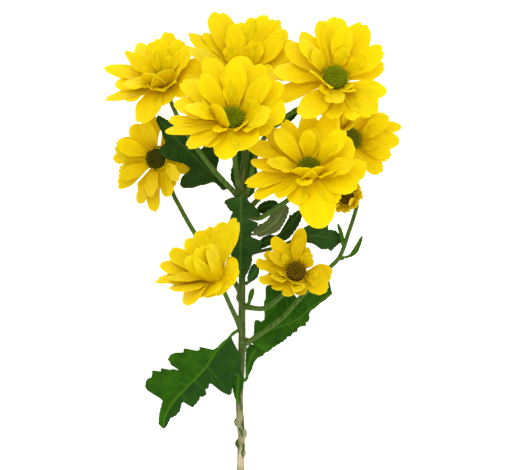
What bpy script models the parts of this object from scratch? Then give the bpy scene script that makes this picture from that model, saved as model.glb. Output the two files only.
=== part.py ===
"""A cut spray of yellow daisy chrysanthemum, lying down.

One branched stem, leaves and ten flower heads.  The stem lies along +Y.  The origin is on the small
flat under its cut end, which rests on the ground plane z = 0 together with the lowest petals of the
crown_left and far_right heads.
Lengths in this file are millimetres and angles are degrees; MM turns millimetres into Blender's metres.
"""

import math
import random
from dataclasses import dataclass

import bmesh
import bpy
from mathutils import Vector

MM = 0.001
GAP = 0.3  # clearance between neighbouring pieces

# Flower heads
PETAL_THICK = 0.7
PETAL_ROWS = 3
INNER_ROWS = 2
PETAL_WIDTH = 0.48  # widest part of a petal, as a share of its length
CLAW_WIDTH = 0.2  # narrow root of a petal, as a share of its widest part
WIDEST_AT = 0.62  # share of the length where a petal is widest
RIM = 1.3  # how far the receptacle reaches beyond the disc
ROOT_DEPTH = 1.1  # how far a flat petal's root is sunk into the receptacle
STEEP_SHIFT = 0.8  # how much further out an upright petal is rooted, to clear the disc
OUTER_ROOT_Z = -1.9
INNER_ROOT_Z = -1.05
INNER_SHARE = 0.84  # length of an inner petal, as a share of an outer one
CORE_SIDES = 8
CORE_TOP = -0.2
CORE_HEIGHT = 3.0
CORE_TAPER = 0.74
PETAL_ROLL = 13  # how far a petal's blade turns over to one side, in degrees
ROW_CROWDING = 1.45  # above 1, a petal's rows crowd towards its tip
DISC_SIDES = 10
DISC_HEIGHT = 2.5
FLORET_RELIEF = 0.22  # how far florets stand out of and sink into the dome by turns
CALYX_SIDES = 8
CALYX_HEIGHT = 3.7
BRACT_RELIEF = 0.5  # how far bracts reach over and under the calyx's rim by turns

# Stem
MAIN_RADIUS = (2.1, 1.7)
STALK_RADIUS = (1.4, 1.15)
NECK = 5.0  # straight end of a flower stalk under its calyx
NECK_GAP = 0.7
RESTING_BLOCK = 40  # side of the block that cuts the stem's flat

# Leaves
LEAF_THICK = 0.8
PETIOLE_HALF = 0.9
TIP_NARROWING = 0.5
WAVE = 0.05  # rise and fall of a leaf's edge, as a share of its reach


@dataclass(frozen=True)
class Ray:
    """Where one petal points and how long it is; azimuth 0 is +X and 90 is +Y seen from above."""

    azimuth: float
    reach: float
    root_rise: float | None = None  # None keeps the whorl's
    tip_rise: float | None = None
    width: float = 1.0


def evenly(count, first, reach=1.0):
    """A ring of petals at even angles, with small seeded differences."""
    draw = random.Random(100 * count + first)
    return tuple(Ray(first + i * 360 / count + draw.uniform(-4, 4), reach * draw.uniform(0.93, 1.06))
                 for i in range(count))


@dataclass(frozen=True)
class Bloom:
    """One flower head: where its disc is, where it faces and how its two whorls of petals open."""

    name: str
    centre: tuple
    facing: tuple
    petal: float
    disc: float
    cup: tuple  # rise of the outer petals at root and tip
    inner_cup: tuple
    seed: int
    outer: tuple
    inner: tuple
    closed: tuple = (0, 0)  # how much further petals on the upper side stand up over the disc, at root and tip

    def axes(self):
        """Unit vectors to the right, upwards in plan, and along the facing direction."""
        w = Vector(self.facing).normalized()
        u = (Vector((1, 0, 0)) - w * w.x).normalized()
        return u, w.cross(u), w

    def at(self, height):
        """A point on the head's axis, that far in front of the disc's base."""
        return Vector(self.centre) + self.axes()[2] * height


@dataclass(frozen=True)
class Petal:
    """One ray petal, as a bent strip that leaves the receptacle's rim."""

    azimuth: float
    length: float
    width: float
    root_rise: float
    tip_rise: float
    sway: float
    roll: float
    root_radius: float
    root_height: float

    def spine(self, s):
        """Distance from the axis, height along it and rise angle at the share s of the length."""
        start = math.radians(self.root_rise)
        bend = math.radians(self.tip_rise) - start
        if abs(bend) < 1e-3:
            bend = 1e-3
        angle = start + bend * s
        out = self.length * (math.sin(angle) - math.sin(start)) / bend
        up = self.length * (math.cos(start) - math.cos(angle)) / bend
        return self.root_radius + out, self.root_height + up, angle

    def point(self, bloom, s, q):
        """The point at share s of the length and q (-1 to 1) of the half width."""
        u, v, w = bloom.axes()
        out, up, angle = self.spine(s)
        azimuth = math.radians(self.azimuth + self.sway * s * s)
        radial = u * math.cos(azimuth) + v * math.sin(azimuth)
        across = v * math.cos(azimuth) - u * math.sin(azimuth)
        normal = w * math.cos(angle) - radial * math.sin(angle)
        tilt = math.radians(self.roll) * min(1.0, 1.6 * s)
        side = across * math.cos(tilt) + normal * math.sin(tilt)
        half = 0.5 * self.width * petal_outline(s)
        return Vector(bloom.centre) + radial * out + w * up + side * (q * half)


@dataclass(frozen=True)
class Leaf:
    """A lobed leaf: a petiole that widens into a blade whose lobes are swept towards the tip."""

    name: str
    route: tuple  # the midrib from the foot of the petiole to the tip
    blade_from: float  # share of the route where the petiole ends
    left: tuple  # share of the blade and reach from the midrib, along the edge from the petiole to the tip
    right: tuple
    fold: tuple  # rise of the left and the right half from the midrib; negative droops
    rows: int = 22
    sweep: float = 15.0  # how far the lobes lean towards the tip, in degrees
    colour: str = "leaf"


BLOOMS = (
    Bloom("crown_left", (-39.7, 205.8, 20.32), (-0.15, 0.5, 0.85), 24, 4.1, (24, 8), (50, 24), 11,
          (Ray(12, 0.9, 20, 2, width=1.15), Ray(58, 0.84, 36, 30, width=0.86), Ray(81, 1.04, width=1.01),
           Ray(104, 0.82, width=0.92), Ray(123, 1.17, 12, -20, width=0.86), Ray(138, 0.98, width=0.66),
           Ray(165, 1.16, width=0.9), Ray(185, 0.89, width=0.92), Ray(210, 1.2, width=0.71),
           Ray(214, 0.84, width=0.69), Ray(248, 1.02, 26, -20, width=1.22),
           Ray(275, 0.6, 30, 10, width=1.03), Ray(326, 0.85, width=1.15)),
          (Ray(34, 0.95), Ray(90, 0.94), Ray(149, 0.96), Ray(207, 1.05), Ray(243, 0.78, 80, 88, width=1.35),
           Ray(291, 0.72, 80, 104, width=1.5)), closed=(22, 26)),
    Bloom("crown_back", (1.7, 208.6, 30), (0.02, 0.55, 0.83), 27, 6, (30, 16), (50, 30), 12,
          (Ray(8, 0.95, 22, -2, width=1.2), Ray(26, 0.94, width=1.1), Ray(43, 0.99, width=0.9),
           Ray(61, 1.1, width=0.84), Ray(75, 1.08, width=0.84), Ray(74, 0.96, width=0.9),
           Ray(94, 0.87, width=0.84), Ray(106, 0.9, width=0.84), Ray(114, 1.17, width=1.25),
           Ray(131, 0.9, width=0.72), Ray(146, 1.09, width=0.74), Ray(174, 1.07, 46, 36, width=0.96)),
          (Ray(33, 1), Ray(106, 0.95), Ray(177, 0.99), Ray(268, 0.71, 82, 66), Ray(322, 0.97))),
    Bloom("crown_right", (48.2, 204.6, 44), (0.1, 0.44, 0.89), 27, 6.4, (28, 10), (54, 28), 13,
          (Ray(334, 0.8, width=0.87), Ray(12, 0.75, width=0.86), Ray(63, 1.04, width=1.25),
           Ray(92, 1.03, width=1.21), Ray(102, 0.94, width=0.9), Ray(128, 0.87, width=0.9),
           Ray(150, 0.9, width=1.2), Ray(176, 0.95, 22, 4, width=1.12), Ray(201, 1.1, 12, -14, width=0.95),
           Ray(239, 1.03, width=1.1), Ray(265, 0.82, width=0.92), Ray(294, 0.83, width=0.9),
           Ray(302, 0.94, width=0.78), Ray(323, 0.76, width=0.69)),
          (Ray(20, 1.06), Ray(82, 0.97), Ray(146, 0.99), Ray(215, 0.62, 84, 52, width=1.35), Ray(265, 0.95),
           Ray(302, 0.4, 72, 50, width=0.75))),
    Bloom("front_left", (-3.5, 183.2, 62), (-0.05, 0.5, 0.86), 28, 5.8, (28, 10), (60, 34), 14,
          (Ray(359, 0.79, width=1.18), Ray(28, 0.91, 34, 22, width=0.95), Ray(61, 0.97, width=0.95),
           Ray(79, 1.02, width=1.4), Ray(108, 1.05, width=1.06), Ray(136, 0.95, width=1.1),
           Ray(163, 0.87, width=1.2), Ray(192, 0.95, width=0.67), Ray(203, 1.08, width=0.69),
           Ray(222, 0.91, width=0.87), Ray(241, 0.61, width=0.47), Ray(260, 0.64, 26, -30, width=1.03),
           Ray(298, 0.6, width=1.12), Ray(344, 0.62, width=1.05)),
          (Ray(30, 1.05), Ray(79, 1.02), Ray(133, 0.95), Ray(182, 0.94), Ray(212, 0.58, 80, 118, width=1.3),
           Ray(300, 0.42, 72, 50, width=0.75), Ray(337, 0.94))),
    Bloom("front_right", (34.6, 158.7, 58), (0, 0.5, 0.86), 26, 5.5, (28, 10), (58, 30), 15,
          (Ray(354, 0.92, width=0.94), Ray(26, 0.8, width=1.1), Ray(67, 1.06, width=1.04),
           Ray(87, 0.96, width=0.99), Ray(116, 0.89, width=0.94), Ray(135, 0.97, width=0.94),
           Ray(157, 1.12, width=0.94), Ray(183, 0.94, width=0.8), Ray(197, 1.07, 16, -6, width=0.88),
           Ray(211, 1.02, 20, -22, width=0.79), Ray(231, 0.73, 26, -10, width=0.5),
           Ray(246, 0.62, 26, -30, width=0.99), Ray(282, 1.05, 26, -62, width=1.5),
           Ray(304, 0.74, 26, -14, width=0.88), Ray(329, 0.93, width=1.21)),
          (Ray(35, 1.03), Ray(79, 0.74, 40, 10), Ray(140, 1), Ray(191, 0.94),
           Ray(248, 0.5, 76, 108, width=1.3), Ray(285, 0.48, 76, 108, width=1.3), Ray(339, 1.03))),
    Bloom("far_right", (57.9, 175.2, 16.62), (0.42, 0.25, 0.87), 22, 5.6, (26, 6), (50, 24), 16,
          (Ray(5, 0.99, width=1.01), Ray(26, 1.12, width=0.69), Ray(40, 1.04, 12, -14, width=0.85),
           Ray(58, 1, width=1.15), Ray(92, 0.95, width=1.3), Ray(136, 0.9, width=1.3),
           Ray(282, 0.83, width=0.8), Ray(313, 0.85, width=1.06), Ray(334, 0.8, width=0.63)),
          (Ray(31, 1.01), Ray(90, 0.99), Ray(130, 0.55, 80, 114, width=1.2), Ray(216, 0.95), Ray(271, 0.98),
           Ray(334, 0.98))),
    Bloom("far_left", (-43.2, 165, 20), (-0.45, -0.1, 0.88), 21, 5.2, (18, 4), (42, 22), 17,
          (Ray(4, 0.72, -10, -44, width=1.28), Ray(28, 0.75, -8, -40, width=1.28),
           Ray(56, 0.72, -8, -40, width=1.28), Ray(109, 0.86, 4, -18, width=1.09),
           Ray(128, 0.81, width=1.02), Ray(163, 0.94, width=1.28), Ray(176, 0.95, width=0.77),
           Ray(202, 0.85, width=0.77), Ray(209, 1.05, width=1.02), Ray(247, 0.96, width=1.02),
           Ray(265, 1.08, width=0.96), Ray(296, 0.76, width=1.02), Ray(303, 0.61, width=0.77),
           Ray(343, 0.64, -6, -30, width=0.83)),
          (Ray(30, 0.6, -6, -30, width=0.7), Ray(95, 1.01), Ray(155, 1), Ray(212, 0.99), Ray(268, 0.93),
           Ray(333, 1.03))),
    Bloom("low_left", (-13.5, 106.2, 38), (-0.38, 0.65, 0.66), 26, 4.7, (42, 20), (50, 32), 18,
          (Ray(44, 1.06, 46, 34, width=0.86), Ray(68, 0.92, width=1.08), Ray(84, 0.86, width=0.9),
           Ray(96, 0.83, width=0.84), Ray(113, 0.82, width=0.96), Ray(144, 0.91, width=0.72),
           Ray(164, 0.93, width=1.06), Ray(185, 1, width=0.96), Ray(222, 0.85, width=1.5),
           Ray(233, 0.75, 46, -30, width=1.2), Ray(258, 0.44, 30, 0, width=1.4),
           Ray(286, 0.3, 12, -36, width=1.5), Ray(316, 0.32, 12, -36, width=1.5),
           Ray(350, 0.36, 26, -6, width=1.3)),
          (Ray(45, 0.9), Ray(100, 0.95), Ray(151, 0.99), Ray(202, 0.97), Ray(256, 1.15, 80, 88, width=1.1),
           Ray(290, 1.2, 82, 96, width=1.3), Ray(328, 1.1, 80, 90, width=1.15)), closed=(14, 20)),
    Bloom("low_right", (28.6, 106.8, 40), (0.1, 0.5, 0.86), 17, 5.1, (34, 14), (52, 30), 19,
          (Ray(356, 0.84, 40, 0, width=1.2), Ray(47, 0.41, width=0.57), Ray(68, 0.62, width=0.86),
           Ray(87, 1.13, width=1.09), Ray(105, 0.67, width=0.8), Ray(124, 1, width=1.15),
           Ray(150, 0.86, width=0.8), Ray(177, 1.04, width=0.98), Ray(209, 1.02, width=0.98),
           Ray(225, 0.74, width=0.86), Ray(254, 0.79, width=0.8), Ray(282, 0.56, width=0.8),
           Ray(307, 0.4, width=0.69), Ray(319, 0.9, width=1.15)),
          (Ray(36, 0.5, 62, 40, width=0.8), Ray(90, 0.99), Ray(154, 0.96), Ray(216, 0.95), Ray(271, 0.98),
           Ray(338, 0.95, 66, -40, width=1.5))),
    Bloom("bud_right", (55.6, 145.4, 15), (-0.45, 0.25, 0.8), 11, 4, (50, 24), (76, 66), 20,
          (Ray(352, 0.74, width=0.99), Ray(29, 0.64, width=0.88), Ray(80, 0.9, width=1.1),
           Ray(125, 0.95, width=1.1), Ray(165, 1, width=1.1), Ray(214, 0.58, width=0.99),
           Ray(245, 0.59, width=0.99), Ray(-85, 0.6, width=1.1), Ray(-45, 0.6, width=1.1)),
          evenly(4, 45)),
)


LEADER = "crown_back"  # the flower head at the end of the main stem
STALKS = {
    "crown_left": ((-0.8, 145.5, 30), (-9, 154, 34), (-16.8, 163, 35), (-25.7, 175.7, 32), (-32.0, 186.4, 24)),
    LEADER: (),
    "crown_right": ((1.2, 142.5, 29), (4.8, 151.1, 31), (7.5, 163.8, 33), (15.5, 179, 34), (31, 190.5, 34)),
    "front_left": ((-0.6, 150.6, 31.5), (-2, 160, 38), (-2.6, 168.5, 46)),
    "front_right": ((1.7, 138.9, 28), (5.3, 135.3, 28), (9.9, 134.2, 29.2), (14.5, 136.5, 32),
                    (20.1, 140.3, 37.5), (24.5, 143.2, 41.5)),
    "far_right": ((1.7, 135.3, 27), (11.5, 145.6, 24), (28.6, 157, 18), (41, 165.8, 11)),
    "far_left": ((0.6, 95.5, 16.8), (-4.4, 103, 12), (-13.6, 113.5, 9.5), (-23, 125.5, 9), (-31.7, 140.6, 8),
                 (-36.2, 150.8, 7)),
    "low_left": ((0.4, 77.5, 12.5), (-1.7, 82, 15.5), (-4.6, 88.4, 21.5), (-7, 94.2, 27)),
    "low_right": ((1.7, 88.6, 15), (6.4, 87.7, 18), (13.1, 87.8, 22), (19.7, 92.6, 26)),
    "bud_right": ((1.1, 68.5, 10.5), (5.3, 70.1, 12), (11.6, 74.4, 13), (22.5, 82.8, 14), (31.4, 92.7, 14),
                  (39.2, 100.5, 13.5), (46, 107.6, 13), (52.4, 114.6, 12.5), (57, 127, 10), (60, 135.5, 7)),
}

MAIN_ROUTE = (
    (0.3, -7.1, 1.9), (0.4, 0.3, 1.9), (0.4, 9.3, 1.9), (0.9, 17.3, 2.8), (0, 30.7, 5), (-0.2, 41.4, 6.5),
    (0.6, 54.7, 8.5), (1.1, 70.6, 11), (1.1, 86.5, 14.5), (1.2, 102.2, 18), (1.2, 117.8, 22), (1.2, 132.2, 26),
    (0.3, 146, 30), (1.2, 155, 32.4), (3.2, 168.9, 32), (3.6, 187, 28),
)
KNOBS = (
    (2.1, 20.8, 3.2), (-0.8, 15.5, 2.6), (1.4, 10.2, 2.1), (-1.3, 27, 4.6), (2.0, 66, 10.3), (-0.2, 93, 16),
)
KNOB_RADIUS = 1.9

LEAVES = (
    Leaf("leaf_low_left",
         ((-2.2, 75.1, 12), (-5.6, 72.1, 13.5), (-11.9, 65.6, 14.5), (-16.1, 58.8, 13.5), (-21.3, 52.4, 12),
          (-28.2, 45.4, 9.5), (-34.6, 38.3, 7), (-38.9, 31.3, 5.2), (-40.5, 23.6, 4.5)), 0.02,
         ((0.04, 0.7), (0.045, 2.4), (0.058, 5.5), (0.063, 7.9), (0.077, 11.1), (0.115, 14.2), (0.158, 16.4),
          (0.223, 16.3), (0.282, 17.6), (0.345, 19.5), (0.367, 19.2), (0.375, 17.2), (0.395, 15.2),
          (0.4, 13), (0.405, 11.1), (0.41, 8.2), (0.415, 7.1), (0.432, 7.3), (0.448, 8.2), (0.49, 7.8),
          (0.497, 10), (0.53, 9.8), (0.557, 8.5), (0.585, 9.5), (0.66, 9.7), (0.677, 7.7), (0.682, 6.2),
          (0.687, 4.5), (0.693, 3.8), (0.733, 4.5), (0.757, 5.7), (0.805, 5.6), (0.84, 4.9), (0.865, 3.5),
          (0.905, 3.2), (0.96, 2.1), (0.995, 0.6)),
         ((0.068, 0.5), (0.115, 0.9), (0.168, 0.8), (0.205, 1.7), (0.21, 5.2), (0.215, 8.2), (0.22, 8.8),
          (0.245, 7.8), (0.26, 8.8), (0.265, 10.4), (0.27, 13), (0.275, 15.9), (0.307, 14.4), (0.325, 16),
          (0.345, 18.6), (0.378, 19.5), (0.422, 18.9), (0.432, 17.4), (0.458, 15.4), (0.463, 13.6),
          (0.468, 10.5), (0.473, 7.9), (0.478, 11), (0.483, 13.8), (0.505, 12.9), (0.51, 16.2),
          (0.515, 18.4), (0.555, 16.6), (0.56, 19), (0.575, 20.8), (0.627, 18.4), (0.672, 19.5),
          (0.725, 17.9), (0.76, 15.3), (0.765, 11.9), (0.77, 8.9), (0.775, 6.8), (0.78, 5.1), (0.785, 5.1),
          (0.825, 4.3), (0.875, 3.6), (0.925, 3.2), (0.98, 2.9)),
         fold=(0.03, -0.16), rows=34),
    Leaf("leaf_low_right",
         ((4.4, 70.5, 10), (7.4, 71.3, 9), (11.6, 73.3, 8), (16.9, 75.6, 7), (22.7, 77.7, 6.5),
          (28.4, 80.1, 6.5), (33.2, 83.5, 6.8), (38.4, 87.7, 7.2), (43.6, 91.9, 7.6), (48.4, 94.8, 8)), 0.02,
         ((0.003, 0.8), (0.045, 1.6), (0.058, 2.6), (0.063, 5.3), (0.077, 6.5), (0.087, 8.7), (0.115, 8.5),
          (0.152, 6.6), (0.195, 6.6), (0.205, 8.5), (0.21, 10.6), (0.215, 12.1), (0.22, 15.5), (0.25, 16.7),
          (0.258, 19.8), (0.263, 21.6), (0.275, 22.9), (0.323, 23.4), (0.388, 23.3), (0.47, 21.3),
          (0.532, 16), (0.585, 10.2), (0.635, 9.2), (0.7, 11.9), (0.8, 13.5), (0.902, 12.4), (0.995, 11.1)),
         ((0.003, 1.6), (0.008, 4.3), (0.013, 6.4), (0.018, 8.6), (0.023, 11.1), (0.028, 10.6), (0.09, 9.7),
          (0.182, 9.1), (0.247, 8.7), (0.282, 8), (0.32, 7), (0.352, 7.4), (0.388, 5.9), (0.432, 6.3),
          (0.472, 4.7), (0.497, 4.1), (0.525, 5), (0.555, 5.5), (0.58, 4.2), (0.62, 4.5), (0.647, 3),
          (0.67, 1.6), (0.713, 0.8), (0.76, 1.1), (0.83, 0.9), (0.905, 1.2), (0.983, 0.3)),
         fold=(0.05, 0.05), rows=28, sweep=20),
    Leaf("leaf_upper_left",
         ((-3.7, 148.2, 26.5), (-9.1, 153.1, 26), (-14.7, 157.4, 26.5), (-20.4, 162.6, 26),
          (-25.5, 168, 25.6), (-30.2, 172.4, 25.2), (-35.9, 178.6, 24.8), (-40.5, 183.8, 24.5),
          (-42.3, 187.1, 24)), 0.05,
         ((0.003, 2.5), (0.008, 3.2), (0.025, 3.3), (0.085, 3), (0.128, 3.3), (0.133, 5.1), (0.138, 7.3),
          (0.143, 8.6), (0.148, 8.5), (0.16, 8.8), (0.165, 10.5), (0.17, 13.3), (0.188, 13.6), (0.198, 15.1),
          (0.225, 16.2), (0.255, 16.4), (0.302, 14.4), (0.33, 12.2), (0.343, 10.5), (0.348, 8.1),
          (0.353, 6.5), (0.372, 5.7), (0.42, 6.1), (0.458, 7), (0.495, 8.9), (0.545, 10.6), (0.595, 11.6),
          (0.637, 11.8), (0.693, 11.3), (0.705, 9.3), (0.71, 7.1), (0.715, 5.5), (0.743, 5), (0.802, 4),
          (0.863, 2.8), (0.915, 2.2), (0.968, 1.7)),
         ((0.003, 0.7), (0.1, 1.2), (0.18, 2.5), (0.203, 4.9), (0.22, 7.8), (0.265, 10.3), (0.307, 12.8),
          (0.338, 14.5), (0.388, 14.2), (0.415, 11.2), (0.42, 7.4), (0.438, 4.8), (0.507, 4.7), (0.578, 6.6),
          (0.652, 7.1), (0.72, 5.8), (0.775, 4.2), (0.84, 4), (0.887, 3.3), (0.922, 2.6), (0.968, 1.5)),
         fold=(0.02, 0.02), rows=32),
    Leaf("leaf_hanging",
         ((0.8, 145.4, 35.4), (0.8, 140.3, 33.6), (0.7, 133.2, 30), (0.5, 123, 26.6), (0.4, 113.7, 24.4),
          (0.7, 102.3, 21.9)), 0.01,
         ((0.003, 2.5), (0.037, 4.7), (0.065, 6.8), (0.1, 8.9), (0.147, 10.3), (0.19, 9), (0.195, 6.3),
          (0.2, 4.2), (0.25, 4), (0.258, 5.8), (0.263, 9.5), (0.295, 9), (0.37, 6.5), (0.458, 5),
          (0.468, 8.7), (0.475, 11.4), (0.5, 11.9), (0.54, 10.3), (0.595, 10.7), (0.625, 8.3), (0.665, 6.4),
          (0.75, 6.2), (0.855, 4.5), (0.953, 2.2)),
         ((0.003, 2.8), (0.008, 5.6), (0.013, 7.7), (0.022, 9), (0.072, 7.4), (0.14, 5.9), (0.145, 4.3),
          (0.195, 5.1), (0.253, 6.1), (0.345, 5.2), (0.46, 4.1), (0.575, 5.4), (0.693, 5), (0.795, 3.5),
          (0.873, 2), (0.948, 1)),
         fold=(0.03, -0.1), rows=20),
    Leaf("leaf_pale",
         ((6.1, 125.8, 25.4), (8.9, 126.2, 25.8), (12.5, 127.6, 26.6), (16.1, 130.2, 28),
          (19.2, 133.2, 29.4), (21.7, 136.8, 30.2), (23.8, 140.9, 30.8)), 0.08,
         ((0.003, 2.7), (0.065, 3.8), (0.168, 4.2), (0.268, 3.9), (0.388, 4.1), (0.48, 5.1), (0.637, 5.2),
          (0.785, 4.7), (0.948, 1.9)),
         ((0.003, 0.3), (0.008, 3.6), (0.155, 4.4), (0.25, 5.2), (0.37, 5.4), (0.583, 4.1), (0.743, 3.4),
          (0.865, 2.9), (0.953, 2.1)),
         fold=(0.1, 0.1), rows=15, sweep=30, colour="leaf_pale"),
    Leaf("leaf_small_dark",
         ((21, 140.7, 28.2), (17.7, 141.2, 27.4), (13.6, 140.5, 26.2), (8.9, 138.4, 25)), 0.08,
         ((0.022, 1.6), (0.2, 2.8), (0.427, 3.3), (0.7, 3.4), (0.922, 1.7)),
         ((0.003, 1.2), (0.008, 2.5), (0.258, 2.7), (0.542, 2.5), (0.752, 2.1), (0.91, 1.3)),
         fold=(0.05, 0.05), rows=9),
    Leaf("leaf_narrow",
         ((5.1, 117.5, 22), (8.4, 119.6, 22.2), (12, 121.7, 22.6), (17.2, 124, 23.2), (21.8, 126.6, 24),
          (25.9, 130.7, 25), (29, 134.8, 26), (31.3, 138.1, 26.5)), 0.08,
         ((0.018, 1.2), (0.1, 1.4), (0.228, 2.6), (0.33, 2.3), (0.412, 0.5), (0.482, 0.7), (0.547, 1.6),
          (0.632, 2.4), (0.72, 3), (0.792, 3.9), (0.807, 2.7), (0.873, 2.5), (0.958, 1.3)),
         ((0.003, 1.4), (0.037, 2.6), (0.135, 3.2), (0.24, 3.3), (0.393, 3.6), (0.472, 4.7), (0.568, 4.3),
          (0.675, 4), (0.77, 3.6), (0.88, 3), (0.968, 2)),
         fold=(0.06, 0.06), rows=17),
    Leaf("leaf_right",
         ((5.4, 115.7, 20.4), (10, 117, 19.6), (15.7, 118.3, 18.6), (23, 120.6, 18), (30.2, 123.7, 18),
          (37.5, 125, 18), (42.7, 124.5, 17.4), (48.6, 123.7, 14.4), (52.6, 123.2, 12)), 0.5,
         ((0.037, 1.5), (0.042, 4.2), (0.052, 6.4), (0.14, 7.4), (0.273, 7.2), (0.38, 8.2), (0.432, 10),
          (0.48, 11.4), (0.542, 10.8), (0.547, 9), (0.552, 6.4), (0.598, 4.5), (0.69, 4.6), (0.79, 4.4),
          (0.935, 2.4)),
         ((0.033, 1.2), (0.075, 2.8), (0.138, 3.6), (0.207, 4.8), (0.258, 6.8), (0.263, 9.4), (0.328, 9.5),
          (0.435, 9.1), (0.44, 10.8), (0.6, 7.6), (0.797, 4.3), (0.92, 2.4)),
         fold=(0.04, 0.04), rows=20, sweep=35),
    Leaf("leaf_behind_right",
         ((3.3, 143.9, 27.2), (3.5, 148.7, 26.4), (3.8, 154.8, 26.3), (4, 162, 26.3), (4.3, 169.8, 26.3)), 0.04,
         ((0.003, 3.2), (0.085, 5.5), (0.19, 7.3), (0.295, 8.8), (0.443, 8.7), (0.598, 7.7), (0.745, 7.3),
          (0.882, 5.3), (0.968, 2.6)),
         ((0.003, 1.8), (0.052, 4.1), (0.19, 5), (0.357, 4.8), (0.475, 5.5), (0.627, 4.6), (0.797, 3.9),
          (0.938, 2.2)),
         fold=(0.05, 0.05), rows=11),
    Leaf("leaf_crown",
         ((19.4, 181.7, 31.5), (23, 184, 32), (26.3, 186.8, 32), (29.9, 190.4, 32)), 0.12,
         ((0.018, 1.8), (0.237, 2.2), (0.41, 2.4), (0.667, 1.8), (0.887, 1.4)),
         ((0.003, 1.8), (0.193, 2.4), (0.505, 2.6), (0.8, 2), (0.96, 1.3)),
         fold=(0.05, 0.05), rows=9),
    Leaf("leaf_behind",
         ((4.2, 100.6, 18.2), (6.1, 103.2, 19), (7.9, 106.1, 19.8), (9.2, 109.8, 20.6)), 0.1,
         ((0.075, 1.9), (0.375, 3.1), (0.73, 3.4), (0.993, 2)),
         ((0.035, 1.4), (0.31, 2.5), (0.61, 2.1), (0.887, 1.4)),
         fold=(0.05, 0.05), rows=7),
    Leaf("bract_low_right",
         ((3.6, 49.8, 6.5), (4, 54, 6.5), (5.2, 59.3, 6.5), (7.4, 64, 6.5), (10.6, 67.2, 6.5)), 0.1,
         ((0.005, 1), (0.19, 1.7), (0.427, 2.8), (0.64, 4), (0.848, 4.4)),
         ((0.022, 1), (0.185, 2.1), (0.405, 2.4), (0.575, 3.3), (0.682, 5.4), (0.863, 5.8)),
         fold=(0.05, 0.05), rows=9),
    Leaf("bract_low_front",
         ((-1.2, 37.4, 9), (-1.1, 44.4, 10.3), (-0.4, 53.4, 11.7)), 0.1,
         ((0.08, 1.7), (0.282, 2.6), (0.527, 3.1), (0.755, 3)),
         ((0.098, 1.3), (0.345, 2.3), (0.625, 3.1), (0.858, 2.5)),
         fold=(0.02, 0.02), rows=6),
    Leaf("bract_fork_right",
         ((54.4, 113.7, 12.8), (58, 115.1, 13.6), (61.1, 119, 14.4), (63.8, 125, 15)), 0.1,
         ((0.077, 0.6), (0.31, 1.3), (0.552, 1.4), (0.805, 1)),
         ((0.003, 0.9), (0.158, 1.3), (0.4, 1.6), (0.627, 1.2), (0.843, 0.9)),
         fold=(0.05, 0.05), rows=7),
    Leaf("bract_fork_left",
         ((53.5, 121, 15), (52.6, 125.8, 16), (51, 131.3, 17)), 0.1,
         ((0.098, 0.7), (0.43, 0.8), (0.743, 0.8)),
         ((0.003, 1.4), (0.362, 1.3), (0.71, 1.1)),
         fold=(0.05, 0.05), rows=5),
    Leaf("bract_axil",
         ((4.9, 90.6, 18), (5.7, 93.4, 19.5), (7, 97.9, 21)), 0.1,
         ((0.015, 1), (0.41, 1.6), (0.76, 1.4)),
         ((0.003, 0.9), (0.347, 1.2), (0.733, 1.2)),
         fold=(0.05, 0.05), rows=6),
)



def material(name, colour, roughness):
    """A Principled material of one colour."""
    made = bpy.data.materials.new(name)
    made.use_nodes = True
    shader = made.node_tree.nodes["Principled BSDF"]
    shader.inputs["Base Color"].default_value = (*colour, 1.0)
    shader.inputs["Roughness"].default_value = roughness
    shader.inputs["Metallic"].default_value = 0.0
    return made


def finish(bm, name, collection, surface):
    """Turns a bmesh in millimetres into an object of the collection and frees it."""
    bmesh.ops.scale(bm, vec=(MM, MM, MM), verts=bm.verts)
    bmesh.ops.recalc_face_normals(bm, faces=bm.faces)
    mesh = bpy.data.meshes.new(name)
    bm.to_mesh(mesh)
    bm.free()
    obj = bpy.data.objects.new(name, mesh)
    obj.data.materials.append(surface)
    collection.objects.link(obj)
    return obj


def strip(rows, cells, place):
    """A triangulated sheet of rows by cells, each vertex put where place(share along, -1 to 1 across) says."""
    bm = bmesh.new()
    bmesh.ops.create_grid(bm, x_segments=rows, y_segments=cells, size=1.0)
    for vert in bm.verts:
        vert.co = place((vert.co.x + 1) / 2, vert.co.y)
    bmesh.ops.triangulate(bm, faces=bm.faces)
    return bm


def sheet_solid(bm, name, collection, surface, thick):
    """Gives a sheet its thickness, half to each side."""
    obj = finish(bm, name, collection, surface)
    solid = obj.modifiers.new("thickness", "SOLIDIFY")
    solid.thickness = thick * MM
    solid.offset = 0.0
    return obj


def evaluated_mesh(obj):
    """The object's mesh with its modifiers applied."""
    bpy.context.view_layer.update()
    graph = bpy.context.evaluated_depsgraph_get()
    return bpy.data.meshes.new_from_object(obj.evaluated_get(graph))


def islands(bm):
    """The connected parts of a mesh, each as its faces."""
    left = set(bm.faces)
    while left:
        seed = left.pop()
        group = [seed]
        queue = [seed]
        while queue:
            for edge in queue.pop().edges:
                for face in edge.link_faces:
                    if face in left:
                        left.discard(face)
                        group.append(face)
                        queue.append(face)
        yield group


def signed_volume(faces):
    """The volume that these triangles enclose, negative for a sealed hollow."""
    total = 0.0
    for face in faces:
        a, b, c = (vert.co for vert in face.verts)
        total += a.cross(b).dot(c) / 6.0
    return total


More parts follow.
